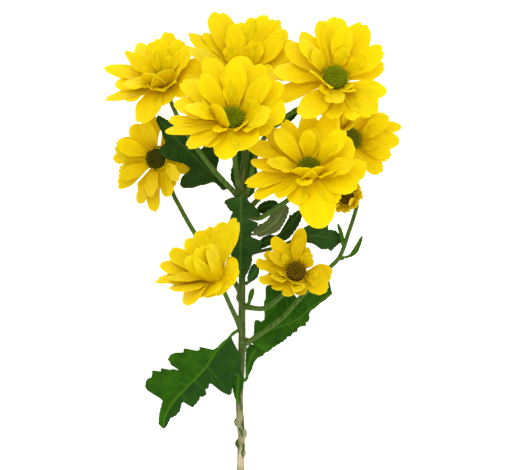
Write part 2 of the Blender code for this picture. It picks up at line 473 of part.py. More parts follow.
def fuse(name, pieces, collection, surface):
    """Joins the pieces into one closed body; loose scraps and sealed hollows are dropped."""
    body = pieces[0]
    others = bpy.data.collections.new(name + "_parts")
    for piece in pieces[1:]:
        others.objects.link(piece)
    union = body.modifiers.new("union", "BOOLEAN")
    union.operation = "UNION"
    union.operand_type = "COLLECTION"
    union.collection = others
    union.solver = "MANIFOLD"
    bm = bmesh.new()
    bm.from_mesh(evaluated_mesh(body))
    bmesh.ops.triangulate(bm, faces=bm.faces)
    groups = sorted(islands(bm), key=signed_volume)
    loose = [face for group in groups[:-1] for face in group]
    bmesh.ops.delete(bm, geom=loose, context="FACES")
    bmesh.ops.dissolve_degenerate(bm, dist=0.002 * MM, edges=bm.edges)
    bmesh.ops.triangulate(bm, faces=bm.faces)
    for piece in pieces:
        bpy.data.objects.remove(piece, do_unlink=True)
    bpy.data.collections.remove(others)
    bmesh.ops.scale(bm, vec=(1 / MM, 1 / MM, 1 / MM), verts=bm.verts)
    return finish(bm, name, collection, surface)


def ease(x):
    """A smooth rise from 0 to 1."""
    x = min(1.0, max(0.0, x))
    return x * x * (3 - 2 * x)


def petal_outline(s):
    """A petal's half width at the share s of its length, as a share of its widest half width."""
    if s < WIDEST_AT:
        return CLAW_WIDTH + (1 - CLAW_WIDTH) * ease(s / WIDEST_AT)
    return math.sqrt(1 - ((s - WIDEST_AT) / (1.045 - WIDEST_AT)) ** 2)


def rooted(bloom, rise):
    """How far from the axis a petal of this rise leaves the receptacle."""
    return bloom.disc + RIM - ROOT_DEPTH + STEEP_SHIFT * ease((rise - 40) / 45)


def petals_of(bloom):
    """Every petal of a flower head: two whorls with small seeded differences."""
    draw = random.Random(bloom.seed)
    u, v, _ = bloom.axes()
    upper_side = math.atan2(v.z, u.z)
    petals = []
    for rays, cup, share, height in (
        (bloom.outer, bloom.cup, 1.0, OUTER_ROOT_Z),
        (bloom.inner, bloom.inner_cup, INNER_SHARE, INNER_ROOT_Z),
    ):
        for ray in rays:
            facing_up = max(0.0, math.cos(math.radians(ray.azimuth) - upper_side)) ** 2
            lift = draw.uniform(-1.5, 1.5)
            root = cup[0] + lift + bloom.closed[0] * facing_up
            tip = cup[1] + lift + bloom.closed[1] * facing_up + draw.uniform(-5, 5)
            root = root if ray.root_rise is None else ray.root_rise
            petals.append(Petal(
                azimuth=ray.azimuth,
                length=bloom.petal * share * ray.reach,
                width=bloom.petal * PETAL_WIDTH * share * ray.width * draw.uniform(0.94, 1.06),
                root_rise=root,
                tip_rise=tip if ray.tip_rise is None else ray.tip_rise,
                sway=draw.uniform(-6, 6),
                roll=PETAL_ROLL + draw.uniform(-2, 2),
                root_radius=rooted(bloom, root),
                root_height=height,
            ))
    return petals


def turned(profile, sides, shape):
    """A closed turned solid.

    The profile is (radius, height) from axis to axis, and shape(radius, height, step) may move it.
    """
    bm = bmesh.new()
    verts = [bm.verts.new((radius, 0, height)) for radius, height in profile]
    edges = [bm.edges.new(pair) for pair in zip(verts, verts[1:])]
    bmesh.ops.spin(bm, geom=verts + edges, cent=(0, 0, 0), axis=(0, 0, 1), angle=2 * math.pi, steps=sides,
                   use_merge=True)
    bmesh.ops.remove_doubles(bm, verts=bm.verts, dist=1e-4)
    for vert in bm.verts:
        radius = math.hypot(vert.co.x, vert.co.y)
        turn = math.atan2(vert.co.y, vert.co.x)
        step = round(turn * sides / (2 * math.pi))
        radius, height = shape(radius, vert.co.z, step)
        vert.co = (radius * math.cos(turn), radius * math.sin(turn), height)
    return bm


def stand(bm, bloom):
    """Moves a piece made round +Z at the origin to the flower head's place and facing."""
    u, v, w = bloom.axes()
    centre = Vector(bloom.centre)
    for vert in bm.verts:
        vert.co = centre + u * vert.co.x + v * vert.co.y + w * vert.co.z
    return bm


def build_petals(bloom, collection, surface):
    """The receptacle with every petal sunk into it, as one body."""
    radius = bloom.disc + RIM
    bm = bmesh.new()
    bmesh.ops.create_cone(bm, cap_ends=True, segments=CORE_SIDES, radius1=radius * CORE_TAPER, radius2=radius,
                          depth=CORE_HEIGHT)
    bmesh.ops.translate(bm, vec=(0, 0, CORE_TOP - CORE_HEIGHT / 2), verts=bm.verts)
    pieces = [finish(stand(bm, bloom), "receptacle", bpy.context.scene.collection, surface)]
    for number, petal in enumerate(petals_of(bloom)):
        rows = PETAL_ROWS if number < len(bloom.outer) else INNER_ROWS
        sheet = strip(rows, 1, lambda x, q, petal=petal: petal.point(bloom, 1 - (1 - x) ** ROW_CROWDING, q))
        pieces.append(sheet_solid(sheet, "petal", bpy.context.scene.collection, surface, PETAL_THICK))
    return fuse(bloom.name + "_petals", pieces, collection, surface)


def build_disc(bloom, collection, surface):
    """The dome of small florets, as relief: every second floret of a ring stands higher."""
    base = CORE_TOP + GAP
    rings = ((1.0, 0.0), (1.0, 0.34), (0.78, 0.76), (0.48, 0.98), (0.2, 0.9))
    profile = [(0, base)]
    profile += [(bloom.disc * r, base + DISC_HEIGHT * z) for r, z in rings]
    profile.append((0, base + DISC_HEIGHT * 0.86))

    def florets(radius, height, step):
        ring = round(radius / bloom.disc * 4)
        if height < base + 0.1 or radius < 0.1:
            return radius, height
        return radius, height + (FLORET_RELIEF if (step + ring) % 2 else -FLORET_RELIEF)

    dome = stand(turned(profile, DISC_SIDES, florets), bloom)
    return finish(dome, bloom.name + "_disc", collection, surface)


def build_calyx(bloom, collection, surface):
    """The green cup under the petals, its rim cut into bracts."""
    scale = (bloom.disc + RIM) / 7.5
    top = CORE_TOP - CORE_HEIGHT - GAP
    base = top - CALYX_HEIGHT
    profile = (
        (0, base), (2.2, base), (5.2 * scale, base + 1.3), (7.4 * scale, top - 0.2), (6.0 * scale, top), (0, top),
    )

    def bracts(radius, height, step):
        if abs(height - (top - 0.2)) > 0.05:
            return radius, height
        return (radius, height + BRACT_RELIEF) if step % 2 else (radius * 0.9, height - BRACT_RELIEF)

    cup = stand(turned(profile, CALYX_SIDES, bracts), bloom)
    return finish(cup, bloom.name + "_calyx", collection, surface)


def smooth(points, steps):
    """A Catmull-Rom curve through the points."""
    points = [Vector(p) for p in points]
    ends = [points[0] * 2 - points[1], *points, points[-1] * 2 - points[-2]]
    route = []
    for a, b, c, d in zip(ends, ends[1:], ends[2:], ends[3:]):
        for i in range(steps):
            t = i / steps
            route.append(0.5 * (2 * b + (c - a) * t + (2 * a - 5 * b + 4 * c - d) * t * t
                                + (3 * b - a - 3 * c + d) * t ** 3))
    route.append(points[-1])
    return route


def tube(name, route, radii, sharpness, surface):
    """A tapering round stem along the route, as a closed mesh object."""
    curve = bpy.data.curves.new(name, "CURVE")
    curve.dimensions = "3D"
    curve.bevel_depth = MM
    curve.bevel_resolution = sharpness
    curve.use_fill_caps = True
    spline = curve.splines.new("POLY")
    spline.points.add(len(route) - 1)
    for i, place in enumerate(route):
        spline.points[i].co = (*(place * MM), 1.0)
        spline.points[i].radius = radii[0] + (radii[1] - radii[0]) * i / (len(route) - 1)
    guide = bpy.data.objects.new(name, curve)
    bpy.context.scene.collection.objects.link(guide)
    mesh = evaluated_mesh(guide)
    bm = bmesh.new()
    bm.from_mesh(mesh)
    bmesh.ops.remove_doubles(bm, verts=bm.verts, dist=1e-6)
    bmesh.ops.scale(bm, vec=(1 / MM, 1 / MM, 1 / MM), verts=bm.verts)
    bpy.data.objects.remove(guide, do_unlink=True)
    return finish(bm, name, bpy.context.scene.collection, surface)


def knob(place, surface):
    """A small swelling where a lower leaf has fallen off."""
    bm = bmesh.new()
    bmesh.ops.create_icosphere(bm, subdivisions=1, radius=KNOB_RADIUS)
    bmesh.ops.translate(bm, vec=place, verts=bm.verts)
    return finish(bm, "knob", bpy.context.scene.collection, surface)


def build_stem(collection, cutters, surface):
    """The main stem with its flower stalks and leaf scars in one body, and the flat that it rests on."""
    by_name = {bloom.name: bloom for bloom in BLOOMS}
    base_z = CORE_TOP - CORE_HEIGHT - GAP - CALYX_HEIGHT - NECK_GAP
    pieces = []
    for name, stalk in STALKS.items():
        bloom = by_name[name]
        end = (bloom.at(base_z - NECK), bloom.at(base_z))
        if name == LEADER:
            pieces.insert(0, tube(name, smooth((*MAIN_ROUTE, *end), 1), MAIN_RADIUS, 2, surface))
        else:
            pieces.append(tube(name, smooth((*stalk, *end), 1), STALK_RADIUS, 1, surface))
    pieces += [knob(place, surface) for place in KNOBS]
    stem = fuse("stem", pieces, collection, surface)
    bm = bmesh.new()
    bmesh.ops.create_cube(bm, size=RESTING_BLOCK)
    bmesh.ops.translate(bm, vec=(0, 5, -RESTING_BLOCK / 2), verts=bm.verts)
    block = finish(bm, "resting_plane", cutters, surface)
    block.hide_render = True
    block.display_type = "WIRE"
    cut = stem.modifiers.new("resting_flat", "BOOLEAN")
    cut.operation = "DIFFERENCE"
    cut.object = block
    return stem


def edge_reach(edge, t):
    """How far one side of a leaf reaches from the midrib at the share t of its blade."""
    stations = ((0.0, PETIOLE_HALF), *edge, (1.0, PETIOLE_HALF * TIP_NARROWING))
    after = next(i for i in range(1, len(stations)) if t <= stations[i][0])
    (t0, reach0), (t1, reach1) = stations[after - 1], stations[after]
    return reach0 + (reach1 - reach0) * (t - t0) / (t1 - t0)


def build_leaf(leaf, collection, surface):
    """A thin arched blade cut to the leaf's outline, with its petiole."""
    route = smooth(leaf.route, 8)
    run = [0.0]
    for start, end in zip(route, route[1:]):
        run.append(run[-1] + (end - start).length)
    along = (route[-1] - route[len(route) // 5]).normalized()
    up = Vector((0, 0, 1))
    up = (up - along * up.dot(along)).normalized()
    left = up.cross(along)

    def place(share, q):
        low = max(i for i in range(len(route) - 1) if run[i] <= share * run[-1])
        spine = route[low].lerp(route[low + 1], (share * run[-1] - run[low]) / (run[low + 1] - run[low]))
        edge, fold, sign = (leaf.left, leaf.fold[0], 1) if q > 0 else (leaf.right, leaf.fold[1], -1)
        t = (share - leaf.blade_from) / (1 - leaf.blade_from)
        half = PETIOLE_HALF
        lean = 0.0
        if t > 0:
            half = edge_reach(edge, t)
            lean = math.radians(leaf.sweep) * ease(t / 0.03) * (share < 1)
        reach = abs(q) * half
        across = left * (sign * math.cos(lean)) + along * math.sin(lean)
        lift = fold * reach + WAVE * math.sin(9 * t + sign) * reach
        return spine + across * reach + up * lift

    bm = strip(leaf.rows, 2, place)
    return sheet_solid(bm, leaf.name, collection, surface, LEAF_THICK)


def main():
    """Builds the spray."""
    for obj in list(bpy.data.objects):
        bpy.data.objects.remove(obj, do_unlink=True)
    scene = bpy.context.scene.collection
    spray = bpy.data.collections.new("daisy_chrysanthemum_spray")
    cutters = bpy.data.collections.new("cutters")
    scene.children.link(spray)
    scene.children.link(cutters)
    surfaces = {
        "petals": material("yellow_petal", (0.85, 0.53, 0.005), 0.55),
        "disc": material("green_disc", (0.12, 0.18, 0.01), 0.8),
        "calyx": material("calyx_green", (0.10, 0.20, 0.03), 0.7),
        "stem": material("stem_green", (0.10, 0.16, 0.05), 0.7),
        "leaf": material("leaf_green", (0.03, 0.13, 0.02), 0.5),
        "leaf_pale": material("leaf_underside", (0.12, 0.18, 0.06), 0.6),
    }
    build_stem(spray, cutters, surfaces["stem"])
    for bloom in BLOOMS:
        build_petals(bloom, spray, surfaces["petals"])
        build_disc(bloom, spray, surfaces["disc"])
        build_calyx(bloom, spray, surfaces["calyx"])
    for leaf in LEAVES:
        build_leaf(leaf, spray, surfaces[leaf.colour])


main()
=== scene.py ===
"""A cut spray of yellow daisy chrysanthemum, lying on a pale studio floor.

The stem lies along +Y and the flower heads face up.  Shapes are worked out in millimetres and angles in degrees; MM
turns them into metres when a mesh is finished.
"""

import logging
import math
import random
from dataclasses import dataclass
from enum import Enum
from typing import Callable, Iterable

import bmesh
import bpy
import numpy as np
from bmesh.types import BMesh, BMVert
from bpy.types import ID, Material, Mesh, Node, NodeSocket, NodeTree, Object
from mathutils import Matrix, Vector

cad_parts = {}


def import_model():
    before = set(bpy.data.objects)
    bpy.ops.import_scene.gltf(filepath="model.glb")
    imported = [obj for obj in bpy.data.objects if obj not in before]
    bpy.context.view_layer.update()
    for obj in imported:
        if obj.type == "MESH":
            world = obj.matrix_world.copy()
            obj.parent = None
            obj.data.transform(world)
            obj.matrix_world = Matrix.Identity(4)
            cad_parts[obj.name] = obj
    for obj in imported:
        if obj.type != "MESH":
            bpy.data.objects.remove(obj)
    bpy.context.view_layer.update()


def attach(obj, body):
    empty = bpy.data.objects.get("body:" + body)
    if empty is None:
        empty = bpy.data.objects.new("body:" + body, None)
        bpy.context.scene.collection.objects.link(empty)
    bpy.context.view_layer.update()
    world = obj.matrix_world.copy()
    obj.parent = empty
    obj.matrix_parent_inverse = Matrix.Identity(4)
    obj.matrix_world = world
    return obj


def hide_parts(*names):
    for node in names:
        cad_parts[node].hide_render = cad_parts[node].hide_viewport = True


MM = 0.001
FULL_TURN = 2 * math.pi
GOLDEN_ANGLE = 137.508
WHITE = (1.0, 1.0, 1.0)
LOG = logging.getLogger("spray")
Place = Callable[[float, float], Vector]


# ---------------------------------------------------------------- shared mesh work


def clamp(x: float) -> float:
    """Return x, kept between 0 and 1."""
    return min(1.0, max(0.0, x))


def ease(x: float) -> float:
    """Return a smooth rise from 0 at x = 0 to 1 at x = 1."""
    x = clamp(x)
    return x * x * (3 - 2 * x)


def bump(x: float, width: float) -> float:
    """Return a bell of height 1 round zero, of the given width."""
    return math.exp(-((x / width) ** 2))


def smooth_route(points: Iterable, steps: int) -> list[Vector]:
    """Draw a Catmull-Rom curve through the points.

    Args:
        points: The places it passes, in millimetres.
        steps: How many points each span gets.

    Returns:
        The points of the curve.
    """
    places = [Vector(p) for p in points]
    ends = [places[0] * 2 - places[1], *places, places[-1] * 2 - places[-2]]
    route = []
    for a, b, c, d in zip(ends, ends[1:], ends[2:], ends[3:]):
        for i in range(steps):
            t = i / steps
            route.append(
                0.5 * (2 * b + (c - a) * t + (2 * a - 5 * b + 4 * c - d) * t * t + (3 * b - a - 3 * c + d) * t**3)
            )
    route.append(places[-1])
    return route


def runs_along(route: list[Vector]) -> list[float]:
    """Measure along a route.

    Args:
        route: Its points.

    Returns:
        How far along it each point lies.
    """
    runs = [0.0]
    for start, end in zip(route, route[1:]):
        runs.append(runs[-1] + (end - start).length)
    return runs


def new_sketch() -> BMesh:
    """Start a mesh with a UV layer."""
    bm = bmesh.new()
    bm.loops.layers.uv.verify()
    return bm


def lay_sheet(bm: BMesh, along: int, across: int) -> list[tuple[BMVert, float, float]]:
    """Lay one flat sheet of cells in the mesh, to be shaped by its user.

    Args:
        bm: The mesh, with a UV layer.
        along: Cells from root to tip.
        across: Cells from edge to edge.

    Returns:
        The sheet's vertices, each with its share of the length and its place from -1 to 1 across.
    """
    verts = bmesh.ops.create_grid(bm, x_segments=along, y_segments=across, size=1.0, calc_uvs=True)["verts"]
    return [(vert, (vert.co.x + 1) / 2, vert.co.y) for vert in verts]


def spin_profile(bm: BMesh, profile: Iterable, facets: int) -> None:
    """Spin a profile round +Z into a closed body.

    Args:
        bm: The mesh, still empty.
        profile: Pairs of radius and height, from one end of the axis to the other.
        facets: How many facets it has round.
    """
    verts = [bm.verts.new((radius, 0, height)) for radius, height in profile]
    edges = [bm.edges.new(pair) for pair in zip(verts, verts[1:])]
    bmesh.ops.spin(
        bm, geom=verts + edges, cent=(0, 0, 0), axis=(0, 0, 1), angle=FULL_TURN, steps=facets, use_merge=True
    )
    bmesh.ops.remove_doubles(bm, verts=bm.verts, dist=1e-4)
    bmesh.ops.recalc_face_normals(bm, faces=bm.faces)


def put(name: str, data: ID) -> Object:
    """Put an object with this data in the scene."""
    obj = bpy.data.objects.new(name, data)
    bpy.context.scene.collection.objects.link(obj)
    return obj


def put_mesh(name: str, bm: BMesh) -> Object:
    """Put a mesh object in the scene.

    Args:
        name: Its name.
        bm: The mesh that it is made from; it is freed.

    Returns:
        The object.
    """
    mesh = bpy.data.meshes.new(name)
    bm.to_mesh(mesh)
    bm.free()
    return put(name, mesh)


def take_shape(obj: Object) -> Mesh:
    """Return a new mesh of the object as it is seen, with its modifiers or its curve's thickness."""
    bpy.context.view_layer.update()
    return bpy.data.meshes.new_from_object(obj.evaluated_get(bpy.context.evaluated_depsgraph_get()))


def apply_modifiers(obj: Object) -> None:
    """Replace an object's mesh by the one that its modifiers make.

    Args:
        obj: The object.
    """
    rough = obj.data
    obj.data = take_shape(obj)
    obj.data.name = obj.name
    obj.modifiers.clear()
    bpy.data.meshes.remove(rough)


def finish_piece(
    bm: BMesh, name: str, surface: Material, thick: float = 0.0, stands_for: str = "", crease: float = 50.0
) -> Object:
    """Turn a mesh in millimetres into a finished piece of the spray.

    Args:
        bm: The mesh; it is freed.
        name: The piece's name.
        surface: Its material.
        thick: Wall thickness for a sheet, half to each side.
        stands_for: The solid that it replaces.
        crease: Edges sharper than this angle stay crisp.

    Returns:
        The piece, riding on the root.
    """
    bmesh.ops.scale(bm, vec=(MM, MM, MM), verts=bm.verts)
    obj = put_mesh(name, bm)
    obj.data.materials.append(surface)
    if thick:
        wall = obj.modifiers.new("wall", "SOLIDIFY")
        wall.thickness = thick * MM
        wall.offset = 0.0
        apply_modifiers(obj)
    for face in obj.data.polygons:
        face.use_smooth = True
    obj.data.set_sharp_from_angle(angle=math.radians(crease))
    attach(obj, "root")
    if stands_for:
        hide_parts(stands_for)
    return obj


# ---------------------------------------------------------------- finishes


def grey(level: float) -> tuple[float, float, float]:
    """Return a grey of that level."""
    return (level, level, level)


class Tree:
    """Adds and joins the shader nodes of one tree."""

    def __init__(self, tree: NodeTree) -> None:
        """Keep the tree that the nodes go in."""
        self.tree = tree

    def feed(self, node: Node, sockets: dict) -> None:
        """Set or join a node's inputs.

        Args:
            node: The node.
            sockets: By name or number of an input, the value to set or the socket to join to it.
        """
        for key, value in sockets.items():
            if isinstance(value, NodeSocket):
                self.tree.links.new(value, node.inputs[key])
            else:
                node.inputs[key].default_value = value

    def add(self, kind: str, sockets: dict | None = None, **settings: object) -> Node:
        """Add a node.

        Args:
            kind: The node's type name.
            sockets: What goes in its inputs, as in feed.
            **settings: Attributes of the node.

        Returns:
            The node.
        """
        node = self.tree.nodes.new(kind)
        for key, value in settings.items():
            setattr(node, key, value)
        self.feed(node, sockets or {})
        return node

    def mix(self, fac: object, low: object, high: object, blend: str = "MIX") -> NodeSocket:
        """Mix two colours.

        Args:
            fac: A value or a socket.
            low: A colour or a socket.
            high: A colour or a socket.
            blend: The blend type.

        Returns:
            The mixed colour's socket.
        """
        low, high = ((*colour, 1.0) if isinstance(colour, tuple) else colour for colour in (low, high))
        return self.add("ShaderNodeMix", {0: fac, 6: low, 7: high}, data_type="RGBA", blend_type=blend).outputs[2]

    def times(self, colour: NodeSocket, *shades: NodeSocket) -> NodeSocket:
        """Multiply a colour by one shade after the other.

        Args:
            colour: The colour's socket.
            *shades: The shades' sockets.

        Returns:
            The darkened colour's socket.
        """
        for shade in shades:
            colour = self.mix(1.0, colour, shade, "MULTIPLY")
        return colour

    def ramp(self, fac: NodeSocket, *stops: tuple) -> NodeSocket:
        """Run a value through a colour ramp.

        Args:
            fac: The value's socket.
            *stops: Pairs of position and colour.

        Returns:
            The colour's socket.
        """
        node = self.add("ShaderNodeValToRGB", {0: fac})
        elements = node.color_ramp.elements
        while len(elements) < len(stops):
            elements.new(0.5)
        for element, (place, colour) in zip(elements, stops):
            element.position = place
            element.color = (*colour, 1.0)
        return node.outputs[0]

    def carried(self, name: str) -> NodeSocket:
        """Read a value that the piece carries on its vertices."""
        return self.add("ShaderNodeAttribute", attribute_name=name).outputs["Fac"]

    def own_map(self) -> NodeSocket:
        """Read the piece's UV map."""
        return self.add("ShaderNodeUVMap").outputs[0]

    def spot(self) -> NodeSocket:
        """Read the place on the object."""
        return self.add("ShaderNodeTexCoord").outputs["Object"]

    def part(self, vector: NodeSocket, axis: str) -> NodeSocket:
        """Take one axis of a vector."""
        return self.add("ShaderNodeSeparateXYZ", {0: vector}).outputs[axis]

    def drawn(self, vector: NodeSocket, scale: tuple) -> NodeSocket:
        """Scale a pattern's coordinates, so that it is drawn out where the scale is small."""
        return self.add("ShaderNodeMapping", {"Vector": vector, "Scale": scale}).outputs[0]

    def noise(self, vector: NodeSocket, scale: object, detail: float = 3.0, roughness: float = 0.5) -> NodeSocket:
        """Add a noise pattern and return its value."""
        sockets = {"Vector": vector, "Scale": scale, "Detail": detail, "Roughness": roughness}
        return self.add("ShaderNodeTexNoise", sockets).outputs["Fac"]

    def effect(self, shared: "NoiseEffect", scale: float, depth: float) -> tuple:
        """Place a shared effect.

        Args:
            shared: The effect.
            scale: Its scale.
            depth: How much it darkens the colour.

        Returns:
            The sockets of its shade and its height.
        """
        node = self.add("ShaderNodeGroup", {"Scale": scale, "Depth": depth}, node_tree=shared.group())
        return node.outputs["Shade"], node.outputs["Height"]

    def relief(self, height: NodeSocket, depth: float, strength: float) -> NodeSocket:
        """Raise a height into a normal.

        Args:
            height: The height's socket.
            depth: Relief depth in millimetres.
            strength: How strongly it shows.

        Returns:
            The normal's socket.
        """
        sockets = {"Strength": strength, "Distance": depth * MM, "Height": height}
        return self.add("ShaderNodeBump", sockets).outputs[0]


@dataclass(frozen=True)
class NoiseEffect:
    """A shared shader node group that makes a surface uneven.

    It has the inputs Scale and Depth and the outputs Shade and Height.  It follows the place on the object, or the
    piece's UV map where the effect is drawn out along it.
    """

    name: str
    detail: float
    roughness: float
    span: tuple
    stretch: tuple = ()

    def group(self) -> NodeTree:
        """Build the node group, or take it if it is built.

        Returns:
            The group.
        """
        if self.name in bpy.data.node_groups:
            return bpy.data.node_groups[self.name]
        group = bpy.data.node_groups.new(self.name, "ShaderNodeTree")
        for socket, way, kind in (("Scale", "INPUT", "Float"), ("Depth", "INPUT", "Float"),
                                  ("Shade", "OUTPUT", "Color"), ("Height", "OUTPUT", "Float")):
            group.interface.new_socket(socket, in_out=way, socket_type="NodeSocket" + kind)
        tree = Tree(group)
        given = tree.add("NodeGroupInput").outputs
        where = tree.drawn(tree.own_map(), self.stretch) if self.stretch else tree.spot()
        noise = tree.noise(where, given["Scale"], self.detail, self.roughness)
        low = tree.add("ShaderNodeMath", {0: 1.0, 1: given["Depth"]}, operation="SUBTRACT")
        span = {"From Min": self.span[0], "From Max": self.span[1], "To Min": low.outputs[0], "To Max": 1.0}
        shade = tree.add("ShaderNodeMapRange", {"Value": noise, **span})
        tree.add("NodeGroupOutput", {"Shade": shade.outputs[0], "Height": noise})
        return group


MOTTLE = NoiseEffect("living_mottle", detail=4.0, roughness=0.6, span=(0.3, 0.7))
FIBRES = NoiseEffect("long_fibres", detail=3.0, roughness=0.55, span=(0.32, 0.68), stretch=(0.12, 1.0, 1.0))


@dataclass(frozen=True)
class Finish:
    """A finish, which builds one material."""

    name: str

    def material(self) -> Material:
        """Build the material."""
        made = bpy.data.materials.new(self.name)
        made.use_nodes = True
        tree = Tree(made.node_tree)
        tree.feed(made.node_tree.nodes["Principled BSDF"], self.dress(tree))
        return made

    def dress(self, tree: Tree) -> dict:
        """Return what goes in the shader's inputs, as in feed."""
        raise NotImplementedError


@dataclass(frozen=True)
class PetalFinish(Finish):
    """Satin yellow, golden at the claw and lemon at the tip, with fine lines along it."""

    name: str = "yellow_petal"
    claw: tuple = (0.80, 0.53, 0.0)
    middle: tuple = (0.91, 0.67, 0.0)
    tip: tuple = (0.96, 0.74, 0.002)
    # darker colour for older petals, and painted shade on heads that lie in shade
    aged_and_shaded: tuple = (0.70, 0.63, 0.5)
    sheen: tuple = (1.0, 0.86, 0.12)

    def dress(self, tree: Tree) -> dict:
        """Lay the yellows along the petal, then its lines, its mottling, and its age and painted shade.

        Args:
            tree: The material's tree.

        Returns:
            What goes in the shader's inputs, as in feed.
        """
        low = tuple(0.5 * (a + b) for a, b in zip(self.claw, self.middle))
        along = tree.part(tree.own_map(), "X")
        blush = tree.ramp(along, (0.0, self.claw), (0.22, low), (0.5, self.middle), (1.0, self.tip))
        lines, ridges = tree.effect(FIBRES, 17.0, 0.12)
        mottle, _ = tree.effect(MOTTLE, 90.0, 0.06)
        # carried per petal: random tone, darkening for age, and painted shade
        tone_and_shade = tree.ramp(tree.carried("tone_and_shade"), (0.0, self.aged_and_shaded), (1.0, WHITE))
        return {
            "Base Color": tree.times(blush, lines, mottle, tone_and_shade),
            "Roughness": 0.55,
            "Specular IOR Level": 0.3,
            "Specular Tint": (*self.sheen, 1.0),
            "Subsurface Weight": 0.25,
            "Subsurface Radius": (1.0, 0.85, 0.1),
            "Subsurface Scale": 0.0012,
            "Normal": tree.relief(ridges, 0.3, 0.5),
        }


@dataclass(frozen=True)
class DiscFinish(Finish):
    """Matt florets, lighter on their tips and darker between."""

    deep: tuple
    face: tuple
    lip: tuple

    def dress(self, tree: Tree) -> dict:
        """Colour the florets by how far up them a point lies.

        Args:
            tree: The material's tree.

        Returns:
            What goes in the shader's inputs, as in feed.
        """
        colour = tree.ramp(tree.carried("rise"), (0.0, self.deep), (0.55, self.face), (1.0, self.lip))
        mottle, grain = tree.effect(MOTTLE, 500.0, 0.35)
        return {
            "Base Color": tree.times(colour, mottle),
            "Roughness": 0.75,
            "Specular IOR Level": 0.08,
            "Normal": tree.relief(grain, 0.2, 0.4),
        }


@dataclass(frozen=True)
class LeafFinish(Finish):
    """A satin leaf with paler veins, darker flats, painted shade on one side and a finely netted surface."""

    blade: tuple
    vein: tuple
    shadow: tuple
    # painted shade: the colour that one side of a leaf is darkened towards, as if turned from the light
    painted_shade_colour: tuple = (0.012, 0.045, 0.008)
    gloss: float = 0.5

    def dress(self, tree: Tree) -> dict:
        """Mottle the blade, darken one side with painted shade, and lay the net and the veins over it.

        Args:
            tree: The material's tree.

        Returns:
            What goes in the shader's inputs, as in feed.
        """
        mottle, _ = tree.effect(MOTTLE, 120.0, 1.0)
        net = {"Vector": tree.own_map(), "Scale": 26.0}
        cells = tree.add("ShaderNodeTexVoronoi", net, feature="DISTANCE_TO_EDGE").outputs["Distance"]
        # painted shade: the carried value darkens one side of the leaf towards the shade colour
        ground = tree.mix(tree.carried("painted_shade"), tree.mix(mottle, self.shadow, self.blade), self.painted_shade_colour)
        netted = tree.times(ground, tree.ramp(cells, (0.0, grey(0.72)), (0.09, WHITE)))
        return {
            "Base Color": tree.mix(tree.carried("vein"), netted, self.vein),
            "Roughness": self.gloss,
            "Specular IOR Level": 0.07,
            "Normal": tree.relief(cells, 0.25, 0.5),
        }


@dataclass(frozen=True)
class BractFinish(Finish):
    """Grey-green bracts with a thin papery edge."""

    name: str = "bract_green"
    face: tuple = (0.085, 0.16, 0.025)
    edge: tuple = (0.22, 0.20, 0.07)

    def dress(self, tree: Tree) -> dict:
        """Colour the bract from edge to edge and line it.

        Args:
            tree: The material's tree.

        Returns:
            What goes in the shader's inputs, as in feed.
        """
        across = tree.part(tree.own_map(), "Y")
        colour = tree.ramp(across, (0.0, self.edge), (0.16, self.face), (0.84, self.face), (1.0, self.edge))
        lines, ridges = tree.effect(FIBRES, 14.0, 0.3)
        return {
            "Base Color": tree.times(colour, lines),
            "Roughness": 0.65,
            "Normal": tree.relief(ridges, 0.15, 0.4),
        }


@dataclass(frozen=True)
class StemFinish(Finish):
    """Woody tan at the cut end, grey-green above, bright green on the young stalks."""

    name: str = "stem_skin"
    wood: tuple = (0.66, 0.57, 0.36)
    bark: tuple = (0.27, 0.25, 0.10)
    moss: tuple = (0.028, 0.085, 0.004)
    green: tuple = (0.088, 0.135, 0.026)
    young: tuple = (0.085, 0.175, 0.02)
    woody_to: tuple = (0.030, 0.075)
    stray: float = 0.035

    def dress(self, tree: Tree) -> dict:
        """Turn from wood to green along the stem, unevenly, with ribs and fine lines over it.

        Args:
            tree: The material's tree.

        Returns:
            What goes in the shader's inputs, as in feed.
        """
        spot = tree.spot()
        drawn = tree.drawn(spot, (1.0, 0.18, 1.0))
        lines = tree.noise(drawn, 900.0)
        patches = tree.ramp(tree.noise(drawn, 480.0), (0.49, grey(0.0)), (0.55, grey(0.95)))
        mottle, uneven = tree.effect(MOTTLE, 160.0, 1.0)
        terms = {0: uneven, 1: self.stray, 2: tree.part(spot, "Y")}
        reach = tree.add("ShaderNodeMath", terms, operation="MULTIPLY_ADD").outputs[0]
        low, high = self.woody_to
        height = tree.add("ShaderNodeMapRange", {"Value": reach, "From Min": low, "From Max": high})
        wood = tree.mix(patches, tree.mix(mottle, self.bark, self.wood), self.moss)
        green = tree.mix(tree.carried("young"), self.green, self.young)
        skin = tree.mix(height.outputs[0], wood, green)
        ribs = tree.ramp(tree.carried("rib"), (0.0, grey(0.7)), (1.0, grey(1.12)))
        lined = tree.ramp(lines, (0.35, grey(0.62)), (0.62, grey(1.08)))
        return {
            "Base Color": tree.times(skin, ribs, lined),
            "Roughness": 0.6,
            "Specular IOR Level": 0.12,
            "Normal": tree.relief(lines, 0.3, 0.5),
        }


@dataclass(frozen=True)
class FloorFinish(Finish):
    """The plain white ground."""

    name: str = "studio_white"
    colour: tuple = (0.92, 0.92, 0.92)
    glow: float = 0.7

    def dress(self, tree: Tree) -> dict:
        """Give the plain values.

        Args:
            tree: The material's tree; not used.

        Returns:
            What goes in the shader's inputs, as in feed.
        """
        return {
            "Base Color": (*self.colour, 1.0),
            "Roughness": 0.9,
            "Emission Color": (*WHITE, 1.0),
            "Emission Strength": self.glow,
        }


